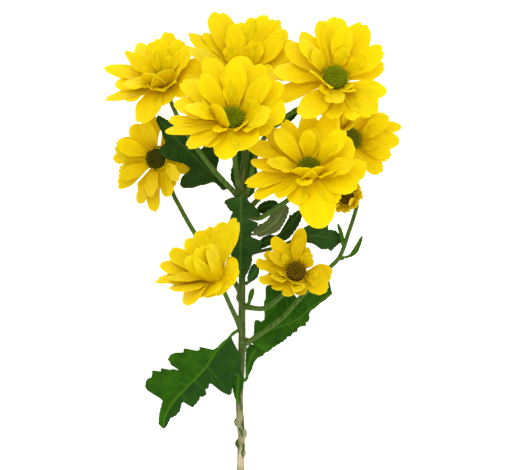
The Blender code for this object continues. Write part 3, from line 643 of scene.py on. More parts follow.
class DiscTone(Enum):
    """The colours a disc can have."""

    GREEN = DiscFinish("disc_green", (0.13, 0.165, 0.0), (0.25, 0.31, 0.001), (0.36, 0.41, 0.005))
    OLIVE = DiscFinish("disc_olive", (0.08, 0.09, 0.0), (0.20, 0.22, 0.001), (0.34, 0.34, 0.006))
    # painted shade: a shaded copy of the disc colours, for the head that lies in shade
    DARK = DiscFinish("disc_shaded", (0.03, 0.03, 0.0), (0.07, 0.07, 0.001), (0.15, 0.14, 0.004))
    BROWN = DiscFinish("disc_brown", (0.07, 0.04, 0.0), (0.19, 0.115, 0.001), (0.33, 0.21, 0.004))


class LeafTone(Enum):
    """The colours a leaf can have."""

    GREEN = LeafFinish("leaf_green", (0.034, 0.135, 0.001), (0.062, 0.175, 0.006), (0.011, 0.062, 0.0004))
    BLUISH = LeafFinish("leaf_bluish", (0.030, 0.094, 0.012), (0.058, 0.130, 0.022), (0.012, 0.046, 0.006))
    DARK = LeafFinish("leaf_dark", (0.020, 0.066, 0.003), (0.040, 0.095, 0.010), (0.007, 0.032, 0.001))
    PALE = LeafFinish("leaf_underside", (0.12, 0.16, 0.055), (0.20, 0.24, 0.10), (0.07, 0.105, 0.03), gloss=0.7)


# ---------------------------------------------------------------- flower heads


@dataclass(frozen=True)
class Ray:
    """Where one petal points and how long it is; azimuth 0 is +X and 90 is +Y seen from above."""

    azimuth: float
    reach: float
    width: float = 1.0
    root_rise: float | None = None
    tip_rise: float | None = None


def evenly(count: int, first: int) -> tuple[Ray, ...]:
    """Lay a ring of petals at even angles, with small seeded differences.

    Args:
        count: How many petals.
        first: Azimuth of the first.

    Returns:
        The petals.
    """
    dice = random.Random(100 * count + first)
    return tuple(Ray(first + i * 360 / count + dice.uniform(-4, 4), dice.uniform(0.93, 1.06)) for i in range(count))


@dataclass(frozen=True)
class HeadSizes:
    """Sizes that every flower head shares.

    A petal's width and the inner whorl are shares of the petal's length.  Heights are in front of the disc's base,
    and roots are where the petals leave the receptacle.
    """

    petal_width: float = 0.48
    petal_thick: float = 0.36
    petal_clear: float = 0.25
    petal_cells: tuple = (14, 10)
    petal_roll: float = 13.0
    tint_spread: float = 0.3
    # darkening per unit of age, which also serves as painted shade
    tint_age_and_shade: float = 0.62
    claw_width: float = 0.36
    widest_at: float = 0.6
    inner_share: float = 0.84
    outer_root: float = -1.9
    inner_root: float = -1.05
    root_depth: float = 1.1
    steep_shift: float = 0.8
    heart_rise: float = 66.0
    heart_tip: float = 34.0
    rim: float = 1.3
    core_top: float = -0.2
    core_height: float = 3.0
    core_taper: float = 0.74
    core_inset: float = 0.25
    core_drop: float = 0.35
    core_bevel: float = 0.4
    # painted shade: how far the receptacle is darkened, since it shows only in the gaps between the claws
    core_painted_shade: float = 0.7
    disc_height: float = 2.5
    disc_foot: float = -0.8
    disc_sink: float = 0.35
    disc_facets: int = 28
    floret_density: float = 2.9
    floret_width: float = 0.50
    gap: float = 0.3
    calyx_height: float = 3.7
    calyx_mouth: float = 7.2
    calyx_foot: float = 1.9
    usual_rim: float = 7.5
    cup_facets: int = 32
    cup_lip: float = 0.3
    bracts: int = 13
    bract_rows: tuple = ((0.0, 0.62), (0.2, 0.86), (0.42, 1.12))
    bract_cells: tuple = (6, 4)
    bract_shift: float = 0.33
    bract_off: float = 0.55
    bract_off_step: float = 0.15
    bract_half: float = 1.5
    bract_thick: float = 0.22
    neck: float = 5.0
    neck_gap: float = 0.7

    @property
    def calyx_top(self) -> float:
        """Height of the calyx's mouth."""
        return self.core_top - self.core_height - self.gap

    @property
    def calyx_base(self) -> float:
        """Height of the calyx's foot."""
        return self.calyx_top - self.calyx_height


SIZES = HeadSizes()


class Draws(Enum):
    """The sets of random draws of a head, which keep clear of each other."""

    WHORLS = 0
    CUTS = 100
    HEART = 500
    BRACTS = 700
    FLORETS = 900


@dataclass(frozen=True)
class Petal:
    """One ray petal: how it leaves the receptacle, bends, rolls and is shaped across."""

    azimuth: float
    length: float
    width: float
    root_rise: float
    tip_rise: float
    sway: float
    roll: float
    root_radius: float
    root_height: float

    def spine(self, s: float) -> tuple[float, float, float]:
        """Follow the petal's middle line.

        Args:
            s: Share of its length.

        Returns:
            Distance from the head's axis, height along it and rise angle.
        """
        start = math.radians(self.root_rise)
        bend = math.radians(self.tip_rise) - start
        if abs(bend) < 1e-3:
            bend = 1e-3
        angle = start + bend * s
        out = self.length * (math.sin(angle) - math.sin(start)) / bend
        up = self.length * (math.cos(start) - math.cos(angle)) / bend
        return self.root_radius + out, self.root_height + up, angle


@dataclass(frozen=True)
class PetalCut:
    """How one petal's blade is cut and dished."""

    rounding: float
    skew: float
    notch: float
    notch_at: float
    hollow: float
    furrow: float
    flutter: float
    ripple: float
    phase: float

    @classmethod
    def draw(cls, dice: random.Random) -> "PetalCut":
        """Draw one petal's differences.

        Args:
            dice: The head's random draws.

        Returns:
            The petal's cut.
        """
        return cls(
            rounding=dice.uniform(0.13, 0.23),
            skew=dice.uniform(-0.035, 0.035),
            notch=dice.choice((0.0, 0.03, 0.045, 0.06)),
            notch_at=dice.uniform(-0.4, 0.4),
            hollow=dice.uniform(0.14, 0.36),
            furrow=dice.uniform(0.28, 0.5),
            flutter=dice.uniform(0.3, 0.8),
            ripple=dice.uniform(1.2, 2.1),
            phase=dice.random(),
        )

    def half_width(self, s: float) -> float:
        """Return the blade's half width at the share s, as a share of the widest."""
        widest = SIZES.widest_at
        if s < widest:
            return SIZES.claw_width + (1 - SIZES.claw_width) * ease(s / widest)
        return 1 - 0.2 * ((s - widest) / (1 - widest)) ** 2.0

    def reach(self, s: float, q: float) -> float:
        """Return the share of the length that the point at s and q lies at, so that the tip is round or notched."""
        tip = ease((s - 0.35) / 0.65)
        ragged = self.notch * (bump(q - self.notch_at, 0.15) + 0.5 * bump(q + 0.6 * self.notch_at + 0.35, 0.12))
        return s - tip * (self.rounding * abs(q) ** 2.4 + self.skew * q + ragged)

    def lift(self, s: float, q: float, half: float) -> float:
        """Return how far the point stands off the blade's plane: dished, with two furrows and a fluttered edge."""
        dish = self.hollow * half * q * q * (1.0 - 1.5 * s)
        furrows = -self.furrow * bump(abs(q) - 0.4, 0.15) * math.sin(math.pi * min(1.0, 0.06 + 0.94 * s))
        edge = self.flutter * math.sin(FULL_TURN * (self.ripple * s + self.phase)) * q * abs(q) * ease(1.3 * s)
        return dish + furrows + edge


@dataclass(frozen=True)
class FlowerHead:
    """One flower head: where its disc is, where it faces and how its whorls of petals open."""

    name: str
    centre: tuple
    facing: tuple
    petal: float
    disc: float
    cup: tuple
    inner_cup: tuple
    seed: int
    outer: tuple
    inner: tuple
    closed: tuple = (0, 0)
    tone: DiscTone = DiscTone.GREEN
    hearts: int = 5
    # 0 to 1: older petals are darker; on a head that lies in shade this is also painted shade
    age: float = 0.0

    def dice(self, draws: Draws) -> random.Random:
        """Start one set of the head's random draws."""
        return random.Random(self.seed + draws.value)

    def axes(self) -> tuple[Vector, Vector, Vector]:
        """Return unit vectors to the right, upwards in plan and along the facing direction."""
        w = Vector(self.facing).normalized()
        u = (Vector((1, 0, 0)) - w * w.x).normalized()
        return u, w.cross(u), w

    def at(self, height: float) -> Vector:
        """Return the point on the head's axis that far in front of the disc's base."""
        return Vector(self.centre) + self.axes()[2] * height

    def stand(self, verts: Iterable) -> None:
        """Move what was made round +Z at the origin to the head's place and facing.

        Args:
            verts: The vertices to move.
        """
        u, v, w = self.axes()
        centre = Vector(self.centre)
        for vert in verts:
            vert.co = centre + u * vert.co.x + v * vert.co.y + w * vert.co.z

    def rooted(self, rise: float) -> float:
        """Return how far from the axis a petal of this rise leaves the receptacle."""
        return self.disc + SIZES.rim - SIZES.root_depth + SIZES.steep_shift * ease((rise - 40) / 45)

    def petals(self) -> list[Petal]:
        """Arrange the two main whorls with small seeded differences.

        Returns:
            The petals, outer whorl first.
        """
        dice = self.dice(Draws.WHORLS)
        u, v, _ = self.axes()
        upper_side = math.atan2(v.z, u.z)
        petals = []
        for rays, cup, share, height in (
            (self.outer, self.cup, 1.0, SIZES.outer_root),
            (self.inner, self.inner_cup, SIZES.inner_share, SIZES.inner_root),
        ):
            for ray in rays:
                facing_up = max(0.0, math.cos(math.radians(ray.azimuth) - upper_side)) ** 2
                lift = dice.uniform(-1.5, 1.5)
                root = cup[0] + lift + self.closed[0] * facing_up
                tip = cup[1] + lift + self.closed[1] * facing_up + dice.uniform(-5, 5)
                root = root if ray.root_rise is None else ray.root_rise
                petals.append(Petal(
                    azimuth=ray.azimuth,
                    length=self.petal * share * ray.reach,
                    width=self.petal * SIZES.petal_width * share * ray.width * dice.uniform(0.94, 1.06),
                    root_rise=root,
                    tip_rise=tip if ray.tip_rise is None else ray.tip_rise,
                    sway=dice.uniform(-6, 6),
                    roll=SIZES.petal_roll + dice.uniform(-2, 2),
                    root_radius=self.rooted(root),
                    root_height=height,
                ))
        return petals

    def heart_petals(self) -> list[Petal]:
        """Arrange the small petals of the third whorl, close round the disc.

        Returns:
            The petals.
        """
        dice = self.dice(Draws.HEART)
        return [
            Petal(
                azimuth=self.seed * 7 + i * 360 / self.hearts + dice.uniform(-16, 16),
                length=self.petal * dice.uniform(0.42, 0.6),
                width=self.petal * SIZES.petal_width * dice.uniform(0.5, 0.7),
                root_rise=SIZES.heart_rise + dice.uniform(-6, 6),
                tip_rise=SIZES.heart_tip + dice.uniform(-14, 14),
                sway=dice.uniform(-10, 10),
                roll=dice.uniform(-18, 18),
                root_radius=self.rooted(SIZES.heart_rise),
                root_height=SIZES.inner_root,
            )
            for i in range(self.hearts)
        ]

    def blade(self, petal: Petal, cut: PetalCut) -> Place:
        """Return the function that places a petal's surface.

        Args:
            petal: The petal's course.
            cut: Its outline and relief.

        Returns:
            A function of the share of the length and -1 to 1 across.
        """
        u, v, w = self.axes()
        centre = Vector(self.centre)

        def place(s: float, q: float) -> Vector:
            """Place one point.

            Args:
                s: Share of the length.
                q: Place across, from -1 to 1.

            Returns:
                The point.
            """
            reach = cut.reach(s, q)
            out, up, angle = petal.spine(reach)
            azimuth = math.radians(petal.azimuth + petal.sway * reach * reach)
            radial = u * math.cos(azimuth) + v * math.sin(azimuth)
            across = v * math.cos(azimuth) - u * math.sin(azimuth)
            normal = w * math.cos(angle) - radial * math.sin(angle)
            tilt = math.radians(petal.roll) * min(1.0, 1.6 * reach)
            side = across * math.cos(tilt) + normal * math.sin(tilt)
            face = normal * math.cos(tilt) - across * math.sin(tilt)
            half = 0.5 * petal.width * cut.half_width(s)
            point = centre + radial * out + w * up + side * (q * half) + face * cut.lift(s, q, half)
            point.z = max(point.z, SIZES.petal_clear)
            return point

        return place

    def build_petals(self, surface: Material) -> Object:
        """Build every petal of the head as one piece.

        Args:
            surface: Its material.

        Returns:
            The piece.
        """
        bm = new_sketch()
        tone_and_shade = bm.verts.layers.float.new("tone_and_shade")
        dice = self.dice(Draws.CUTS)
        for petal in self.petals() + self.heart_petals():
            # random tone, then darkening for age and painted shade
            shade = 1.0 - SIZES.tint_spread * dice.random() - SIZES.tint_age_and_shade * self.age
            place = self.blade(petal, PetalCut.draw(dice))
            for vert, s, q in lay_sheet(bm, *SIZES.petal_cells):
                vert.co = place(s, q)
                vert[tone_and_shade] = shade
        name = self.name + "_petals"
        return finish_piece(bm, name + "_fine", surface, thick=SIZES.petal_thick, stands_for=name)

    def build_receptacle(self, surface: Material) -> Object:
        """Build the cushion that the petals grow from.

        Args:
            surface: Its material.

        Returns:
            The piece.
        """
        bm = new_sketch()
        radius = self.disc + SIZES.rim - SIZES.core_inset
        bmesh.ops.create_cone(
            bm, cap_ends=True, segments=40, radius1=radius * SIZES.core_taper, radius2=radius,
            depth=SIZES.core_height, calc_uvs=True,
        )
        middle = SIZES.core_top - SIZES.core_drop - SIZES.core_height / 2
        bmesh.ops.translate(bm, vec=(0, 0, middle), verts=bm.verts)
        rim = [edge for edge in bm.edges if len(edge.link_faces) == 2 and edge.calc_face_angle(0) > 0.8]
        bmesh.ops.bevel(bm, geom=rim, offset=SIZES.core_bevel, offset_type="OFFSET", segments=3, profile=0.5,
                        affect="EDGES", material=-1)
        # painted shade: the whole receptacle is darkened, as it shows only in the gaps between the petal claws
        tone_and_shade = bm.verts.layers.float.new("tone_and_shade")
        for vert in bm.verts:
            vert[tone_and_shade] = SIZES.core_painted_shade
        self.stand(bm.verts)
        return finish_piece(bm, self.name + "_receptacle", surface)

    def dome(self, share: float) -> float:
        """Return the disc's height at a share of its radius."""
        rim = max(0.0, 1 - share**3.2) ** 0.6
        return SIZES.core_top + SIZES.gap + SIZES.disc_height * (0.12 + 0.82 * rim - 0.10 * bump(share, 0.35))

    def build_disc(self, surface: Material) -> Object:
        """Build the disc: a dome set with florets in a sunflower spiral.

        Args:
            surface: Its material.

        Returns:
            The piece.
        """
        bm = new_sketch()
        rise = bm.verts.layers.float.new("rise")
        shares = [1 - i / 10 for i in range(11)]
        dome = [(self.disc * share, self.dome(share) - SIZES.disc_sink) for share in shares]
        spin_profile(bm, [(0, SIZES.disc_foot), (self.disc, SIZES.disc_foot), *dome], SIZES.disc_facets)
        dice = self.dice(Draws.FLORETS)
        count = round(SIZES.floret_density * self.disc**2)
        for i in range(count):
            share = math.sqrt((i + 0.5) / count)
            turn = math.radians(GOLDEN_ANGLE) * i
            floret = bmesh.ops.create_icosphere(bm, subdivisions=1, radius=1.0)["verts"]
            wide = SIZES.floret_width + 0.14 * share + dice.uniform(-0.04, 0.04)
            tall = wide * (1.15 + 0.5 * share) * dice.uniform(0.9, 1.15)
            splay = 0.9 * share**3
            cos, sin = math.cos(turn), math.sin(turn)
            place = Vector((self.disc * share * cos, self.disc * share * sin, self.dome(share)))
            lean = Vector((math.sin(splay) * cos, math.sin(splay) * sin, math.cos(splay)))
            side = Vector((-sin, cos, 0))
            out = side.cross(lean)
            for vert in floret:
                x, y, z = vert.co
                vert[rise] = clamp(0.35 + 0.5 * z) * (0.75 + 0.25 * share)
                vert.co = place + side * (x * wide) + out * (y * wide) + lean * (z * tall)
        self.stand(bm.verts)
        name = self.name + "_disc"
        return finish_piece(bm, name + "_fine", surface, stands_for=name, crease=80.0)

    def cup_wall(self, t: float) -> tuple[float, float]:
        """Follow the calyx wall.

        Args:
            t: Share of the way from its foot to its mouth.

        Returns:
            Its radius and height.
        """
        scale = (self.disc + SIZES.rim) / SIZES.usual_rim
        swell = math.sin(0.5 * math.pi * min(1.0, t * 1.15))
        radius = SIZES.calyx_foot + (SIZES.calyx_mouth * scale - SIZES.calyx_foot) * swell**0.9
        return radius, SIZES.calyx_base + (SIZES.calyx_top - SIZES.calyx_base) * t**1.25

    def build_cup(self, surface: Material) -> Object:
        """Build the cup under the petals.

        Args:
            surface: Its material.

        Returns:
            The piece.
        """
        bm = new_sketch()
        walls = [self.cup_wall(i / 8) for i in range(9)]
        mouth, top = walls[-1]
        top += SIZES.cup_lip
        spin_profile(bm, [(0, walls[0][1]), *walls, (mouth * 0.8, top), (0, top)], SIZES.cup_facets)
        self.stand(bm.verts)
        return finish_piece(bm, self.name + "_cup", surface)

    def bract(self, turn: float, start: float, stop: float, stand_off: float) -> Place:
        """Return the function that places a bract's surface on the cup.

        Args:
            turn: Its angle round the cup.
            start: Share of the wall where it begins.
            stop: Share of the wall where it ends; past 1 it stands over the rim.
            stand_off: How far it stands off the wall.

        Returns:
            A function of the share of the length and -1 to 1 across.
        """

        def place(s: float, q: float) -> Vector:
            """Place one point.

            Args:
                s: Share of the length.
                q: Place across, from -1 to 1.

            Returns:
                The point.
            """
            share = start + (stop - start) * s
            over = max(0.0, share - 1.0)
            radius, height = self.cup_wall(min(1.0, share))
            radius += stand_off * ease(2 * s) - 0.1 + 0.3 * over
            height += 7.0 * over
            half = SIZES.bract_half * (0.75 + 0.5 * s) * math.sqrt(max(0.0, 1 - s**2.6)) + 0.04
            angle = turn + q * half / radius
            return Vector((radius * math.cos(angle), radius * math.sin(angle), height))

        return place

    def build_bracts(self, surface: Material) -> Object:
        """Build three rows of overlapping bracts round the cup.

        Args:
            surface: Its material.

        Returns:
            The piece.
        """
        bm = new_sketch()
        dice = self.dice(Draws.BRACTS)
        for row, (start, end) in enumerate(SIZES.bract_rows):
            for i in range(SIZES.bracts):
                turn = FULL_TURN * (i + SIZES.bract_shift * row) / SIZES.bracts + dice.uniform(-0.05, 0.05)
                stand_off = SIZES.bract_off - SIZES.bract_off_step * row
                place = self.bract(turn, start, end + dice.uniform(-0.05, 0.05), stand_off)
                for vert, s, q in lay_sheet(bm, *SIZES.bract_cells):
                    vert.co = place(s, q)
        self.stand(bm.verts)
        name = self.name + "_calyx"
        return finish_piece(bm, name + "_bracts", surface, thick=SIZES.bract_thick, stands_for=name)


HEADS = (
    FlowerHead(
        "crown_left", centre=(-39.7, 205.8, 20.32), facing=(-0.15, 0.5, 0.85), petal=24, disc=4.1, cup=(24, 8),
        inner_cup=(50, 24), seed=11, closed=(22, 26), hearts=9, age=0.05,
        outer=(Ray(12, 0.9, 1.15, 20, 2), Ray(58, 0.84, 0.86, 36, 30), Ray(81, 1.04, 1.01), Ray(104, 0.82, 0.92),
               Ray(123, 1.17, 0.86, 12, -20), Ray(138, 0.98, 0.66), Ray(165, 1.16, 0.9), Ray(185, 0.89, 0.92),
               Ray(210, 1.2, 0.71), Ray(214, 0.84, 0.69), Ray(248, 1.02, 1.22, 26, -20),
               Ray(275, 0.6, 1.03, 30, 10), Ray(326, 0.85, 1.15)),
        inner=(Ray(34, 0.95), Ray(90, 0.94), Ray(149, 0.96), Ray(207, 1.05), Ray(243, 0.78, 1.35, 80, 88),
               Ray(291, 0.72, 1.5, 80, 104)),
    ),
    FlowerHead(
        "crown_back", centre=(1.7, 208.6, 30), facing=(0.02, 0.55, 0.83), petal=27, disc=6, cup=(30, 16),
        inner_cup=(50, 30), seed=12, hearts=7,
        outer=(Ray(8, 0.95, 1.2, 22, -2), Ray(26, 0.94, 1.1), Ray(43, 0.99, 0.9), Ray(61, 1.1, 0.84),
               Ray(75, 1.08, 0.84), Ray(74, 0.96, 0.9), Ray(94, 0.87, 0.84), Ray(106, 0.9, 0.84),
               Ray(114, 1.17, 1.25), Ray(131, 0.9, 0.72), Ray(146, 1.09, 0.74), Ray(174, 1.07, 0.96, 46, 36)),
        inner=(Ray(33, 1), Ray(106, 0.95), Ray(177, 0.99), Ray(268, 0.71, 1, 82, 66), Ray(322, 0.97)),
    ),
    FlowerHead(
        "crown_right", centre=(48.2, 204.6, 44), facing=(0.1, 0.44, 0.89), petal=27, disc=6.4, cup=(28, 10),
        inner_cup=(54, 28), seed=13,
        outer=(Ray(334, 0.8, 0.87), Ray(12, 0.75, 0.86), Ray(63, 1.04, 1.25), Ray(92, 1.03, 1.21),
               Ray(102, 0.94, 0.9), Ray(128, 0.87, 0.9), Ray(150, 0.9, 1.2), Ray(176, 0.95, 1.12, 22, 4),
               Ray(201, 1.1, 0.95, 12, -14), Ray(239, 1.03, 1.1), Ray(265, 0.82, 0.92), Ray(294, 0.83, 0.9),
               Ray(302, 0.94, 0.78), Ray(323, 0.76, 0.69)),
        inner=(Ray(20, 1.06), Ray(82, 0.97), Ray(146, 0.99), Ray(215, 0.62, 1.35, 84, 52), Ray(265, 0.95),
               Ray(302, 0.4, 0.75, 72, 50)),
    ),
    FlowerHead(
        "front_left", centre=(-3.5, 183.2, 62), facing=(-0.05, 0.5, 0.86), petal=28, disc=5.8, cup=(28, 10),
        inner_cup=(60, 34), seed=14,
        outer=(Ray(359, 0.79, 1.18), Ray(28, 0.91, 0.95, 34, 22), Ray(61, 0.97, 0.95), Ray(79, 1.02, 1.4),
               Ray(108, 1.05, 1.06), Ray(136, 0.95, 1.1), Ray(163, 0.87, 1.2), Ray(192, 0.95, 0.67),
               Ray(203, 1.08, 0.69), Ray(222, 0.91, 0.87), Ray(241, 0.61, 0.47), Ray(260, 0.64, 1.03, 26, -30),
               Ray(298, 0.6, 1.12), Ray(344, 0.62, 1.05)),
        inner=(Ray(30, 1.05), Ray(79, 1.02), Ray(133, 0.95), Ray(182, 0.94), Ray(212, 0.58, 1.3, 80, 118),
               Ray(300, 0.42, 0.75, 72, 50), Ray(337, 0.94)),
    ),
    FlowerHead(
        "front_right", centre=(34.6, 158.7, 58), facing=(0, 0.5, 0.86), petal=26, disc=5.5, cup=(28, 10),
        inner_cup=(58, 30), seed=15, tone=DiscTone.OLIVE,
        outer=(Ray(354, 0.92, 0.94), Ray(26, 0.8, 1.1), Ray(67, 1.06, 1.04), Ray(87, 0.96, 0.99),
               Ray(116, 0.89, 0.94), Ray(135, 0.97, 0.94), Ray(157, 1.12, 0.94), Ray(183, 0.94, 0.8),
               Ray(197, 1.07, 0.88, 16, -6), Ray(211, 1.02, 0.79, 20, -22), Ray(231, 0.73, 0.5, 26, -10),
               Ray(246, 0.62, 0.99, 26, -30), Ray(282, 1.05, 1.5, 26, -62), Ray(304, 0.74, 0.88, 26, -14),
               Ray(329, 0.93, 1.21)),
        inner=(Ray(35, 1.03), Ray(79, 0.74, 1, 40, 10), Ray(140, 1), Ray(191, 0.94), Ray(248, 0.5, 1.3, 76, 108),
               Ray(285, 0.48, 1.3, 76, 108), Ray(339, 1.03)),
    ),
    FlowerHead(
        "far_right", centre=(57.9, 175.2, 16.62), facing=(0.42, 0.25, 0.87), petal=22, disc=5.6, cup=(26, 6),
        inner_cup=(50, 24), seed=16, tone=DiscTone.OLIVE,
        outer=(Ray(5, 0.99, 1.01), Ray(26, 1.12, 0.69), Ray(40, 1.04, 0.85, 12, -14), Ray(58, 1, 1.15),
               Ray(92, 0.95, 1.3), Ray(136, 0.9, 1.3), Ray(282, 0.83, 0.8), Ray(313, 0.85, 1.06),
               Ray(334, 0.8, 0.63)),
        inner=(Ray(31, 1.01), Ray(90, 0.99), Ray(130, 0.55, 1.2, 80, 114), Ray(216, 0.95), Ray(271, 0.98),
               Ray(334, 0.98)),
    ),
    FlowerHead(
        # far_left lies in shade: most of its age darkening and its dark disc tone are painted shade
        "far_left", centre=(-43.2, 165, 20), facing=(-0.45, -0.1, 0.88), petal=21, disc=5.2, cup=(18, 4),
        inner_cup=(42, 22), seed=17, hearts=0, age=0.75, tone=DiscTone.DARK,
        outer=(Ray(4, 0.72, 1.28, -10, -44), Ray(28, 0.75, 1.28, -8, -40), Ray(56, 0.72, 1.28, -8, -40),
               Ray(109, 0.86, 1.09, 4, -18), Ray(128, 0.81, 1.02), Ray(163, 0.94, 1.28), Ray(176, 0.95, 0.77),
               Ray(202, 0.85, 0.77), Ray(209, 1.05, 1.02), Ray(247, 0.96, 1.02), Ray(265, 1.08, 0.96),
               Ray(296, 0.76, 1.02), Ray(303, 0.61, 0.77), Ray(343, 0.64, 0.83, -6, -30)),
        inner=(Ray(30, 0.6, 0.7, -6, -30), Ray(95, 1.01), Ray(155, 1), Ray(212, 0.99), Ray(268, 0.93),
               Ray(333, 1.03)),
    ),
    FlowerHead(
        "low_left", centre=(-13.5, 106.2, 38), facing=(-0.38, 0.65, 0.66), petal=26, disc=4.7, cup=(42, 20),
        inner_cup=(50, 32), seed=18, closed=(14, 20), hearts=0,
        outer=(Ray(44, 1.06, 0.86, 46, 34), Ray(68, 0.92, 1.08), Ray(84, 0.86, 0.9), Ray(96, 0.83, 0.84),
               Ray(113, 0.82, 0.96), Ray(144, 0.91, 0.72), Ray(164, 0.93, 1.06), Ray(185, 1, 0.96),
               Ray(222, 0.85, 1.5), Ray(233, 0.75, 1.2, 46, -30), Ray(258, 0.44, 1.4, 30, 0),
               Ray(286, 0.3, 1.5, 12, -36), Ray(316, 0.32, 1.5, 12, -36), Ray(350, 0.36, 1.3, 26, -6)),
        inner=(Ray(45, 0.9), Ray(100, 0.95), Ray(151, 0.99), Ray(202, 0.97), Ray(256, 1.15, 1.1, 80, 88),
               Ray(290, 1.2, 1.3, 82, 96), Ray(328, 1.1, 1.15, 80, 90)),
    ),
    FlowerHead(
        "low_right", centre=(28.6, 106.8, 40), facing=(0.1, 0.5, 0.86), petal=17, disc=5.1, cup=(34, 14),
        inner_cup=(52, 30), seed=19, age=0.8, tone=DiscTone.BROWN,
        outer=(Ray(356, 0.84, 1.2, 40, 0), Ray(47, 0.41, 0.57), Ray(68, 0.62, 0.86), Ray(87, 1.13, 1.09),
               Ray(105, 0.67, 0.8), Ray(124, 1, 1.15), Ray(150, 0.86, 0.8), Ray(177, 1.04, 0.98),
               Ray(209, 1.02, 0.98), Ray(225, 0.74, 0.86), Ray(254, 0.79, 0.8), Ray(282, 0.56, 0.8),
               Ray(307, 0.4, 0.69), Ray(319, 0.9, 1.15)),
        inner=(Ray(36, 0.5, 0.8, 62, 40), Ray(90, 0.99), Ray(154, 0.96), Ray(216, 0.95), Ray(271, 0.98),
               Ray(338, 0.95, 1.5, 66, -40)),
    ),
    FlowerHead(
        "bud_right", centre=(55.6, 145.4, 15), facing=(-0.45, 0.25, 0.8), petal=11, disc=4, cup=(50, 24),
        inner_cup=(76, 66), seed=20, hearts=0, age=0.5, tone=DiscTone.BROWN,
        outer=(Ray(352, 0.74, 0.99), Ray(29, 0.64, 0.88), Ray(80, 0.9, 1.1), Ray(125, 0.95, 1.1), Ray(165, 1, 1.1),
               Ray(214, 0.58, 0.99), Ray(245, 0.59, 0.99), Ray(-85, 0.6, 1.1), Ray(-45, 0.6, 1.1)),
        inner=evenly(4, 45),
    ),
)


# ---------------------------------------------------------------- stem


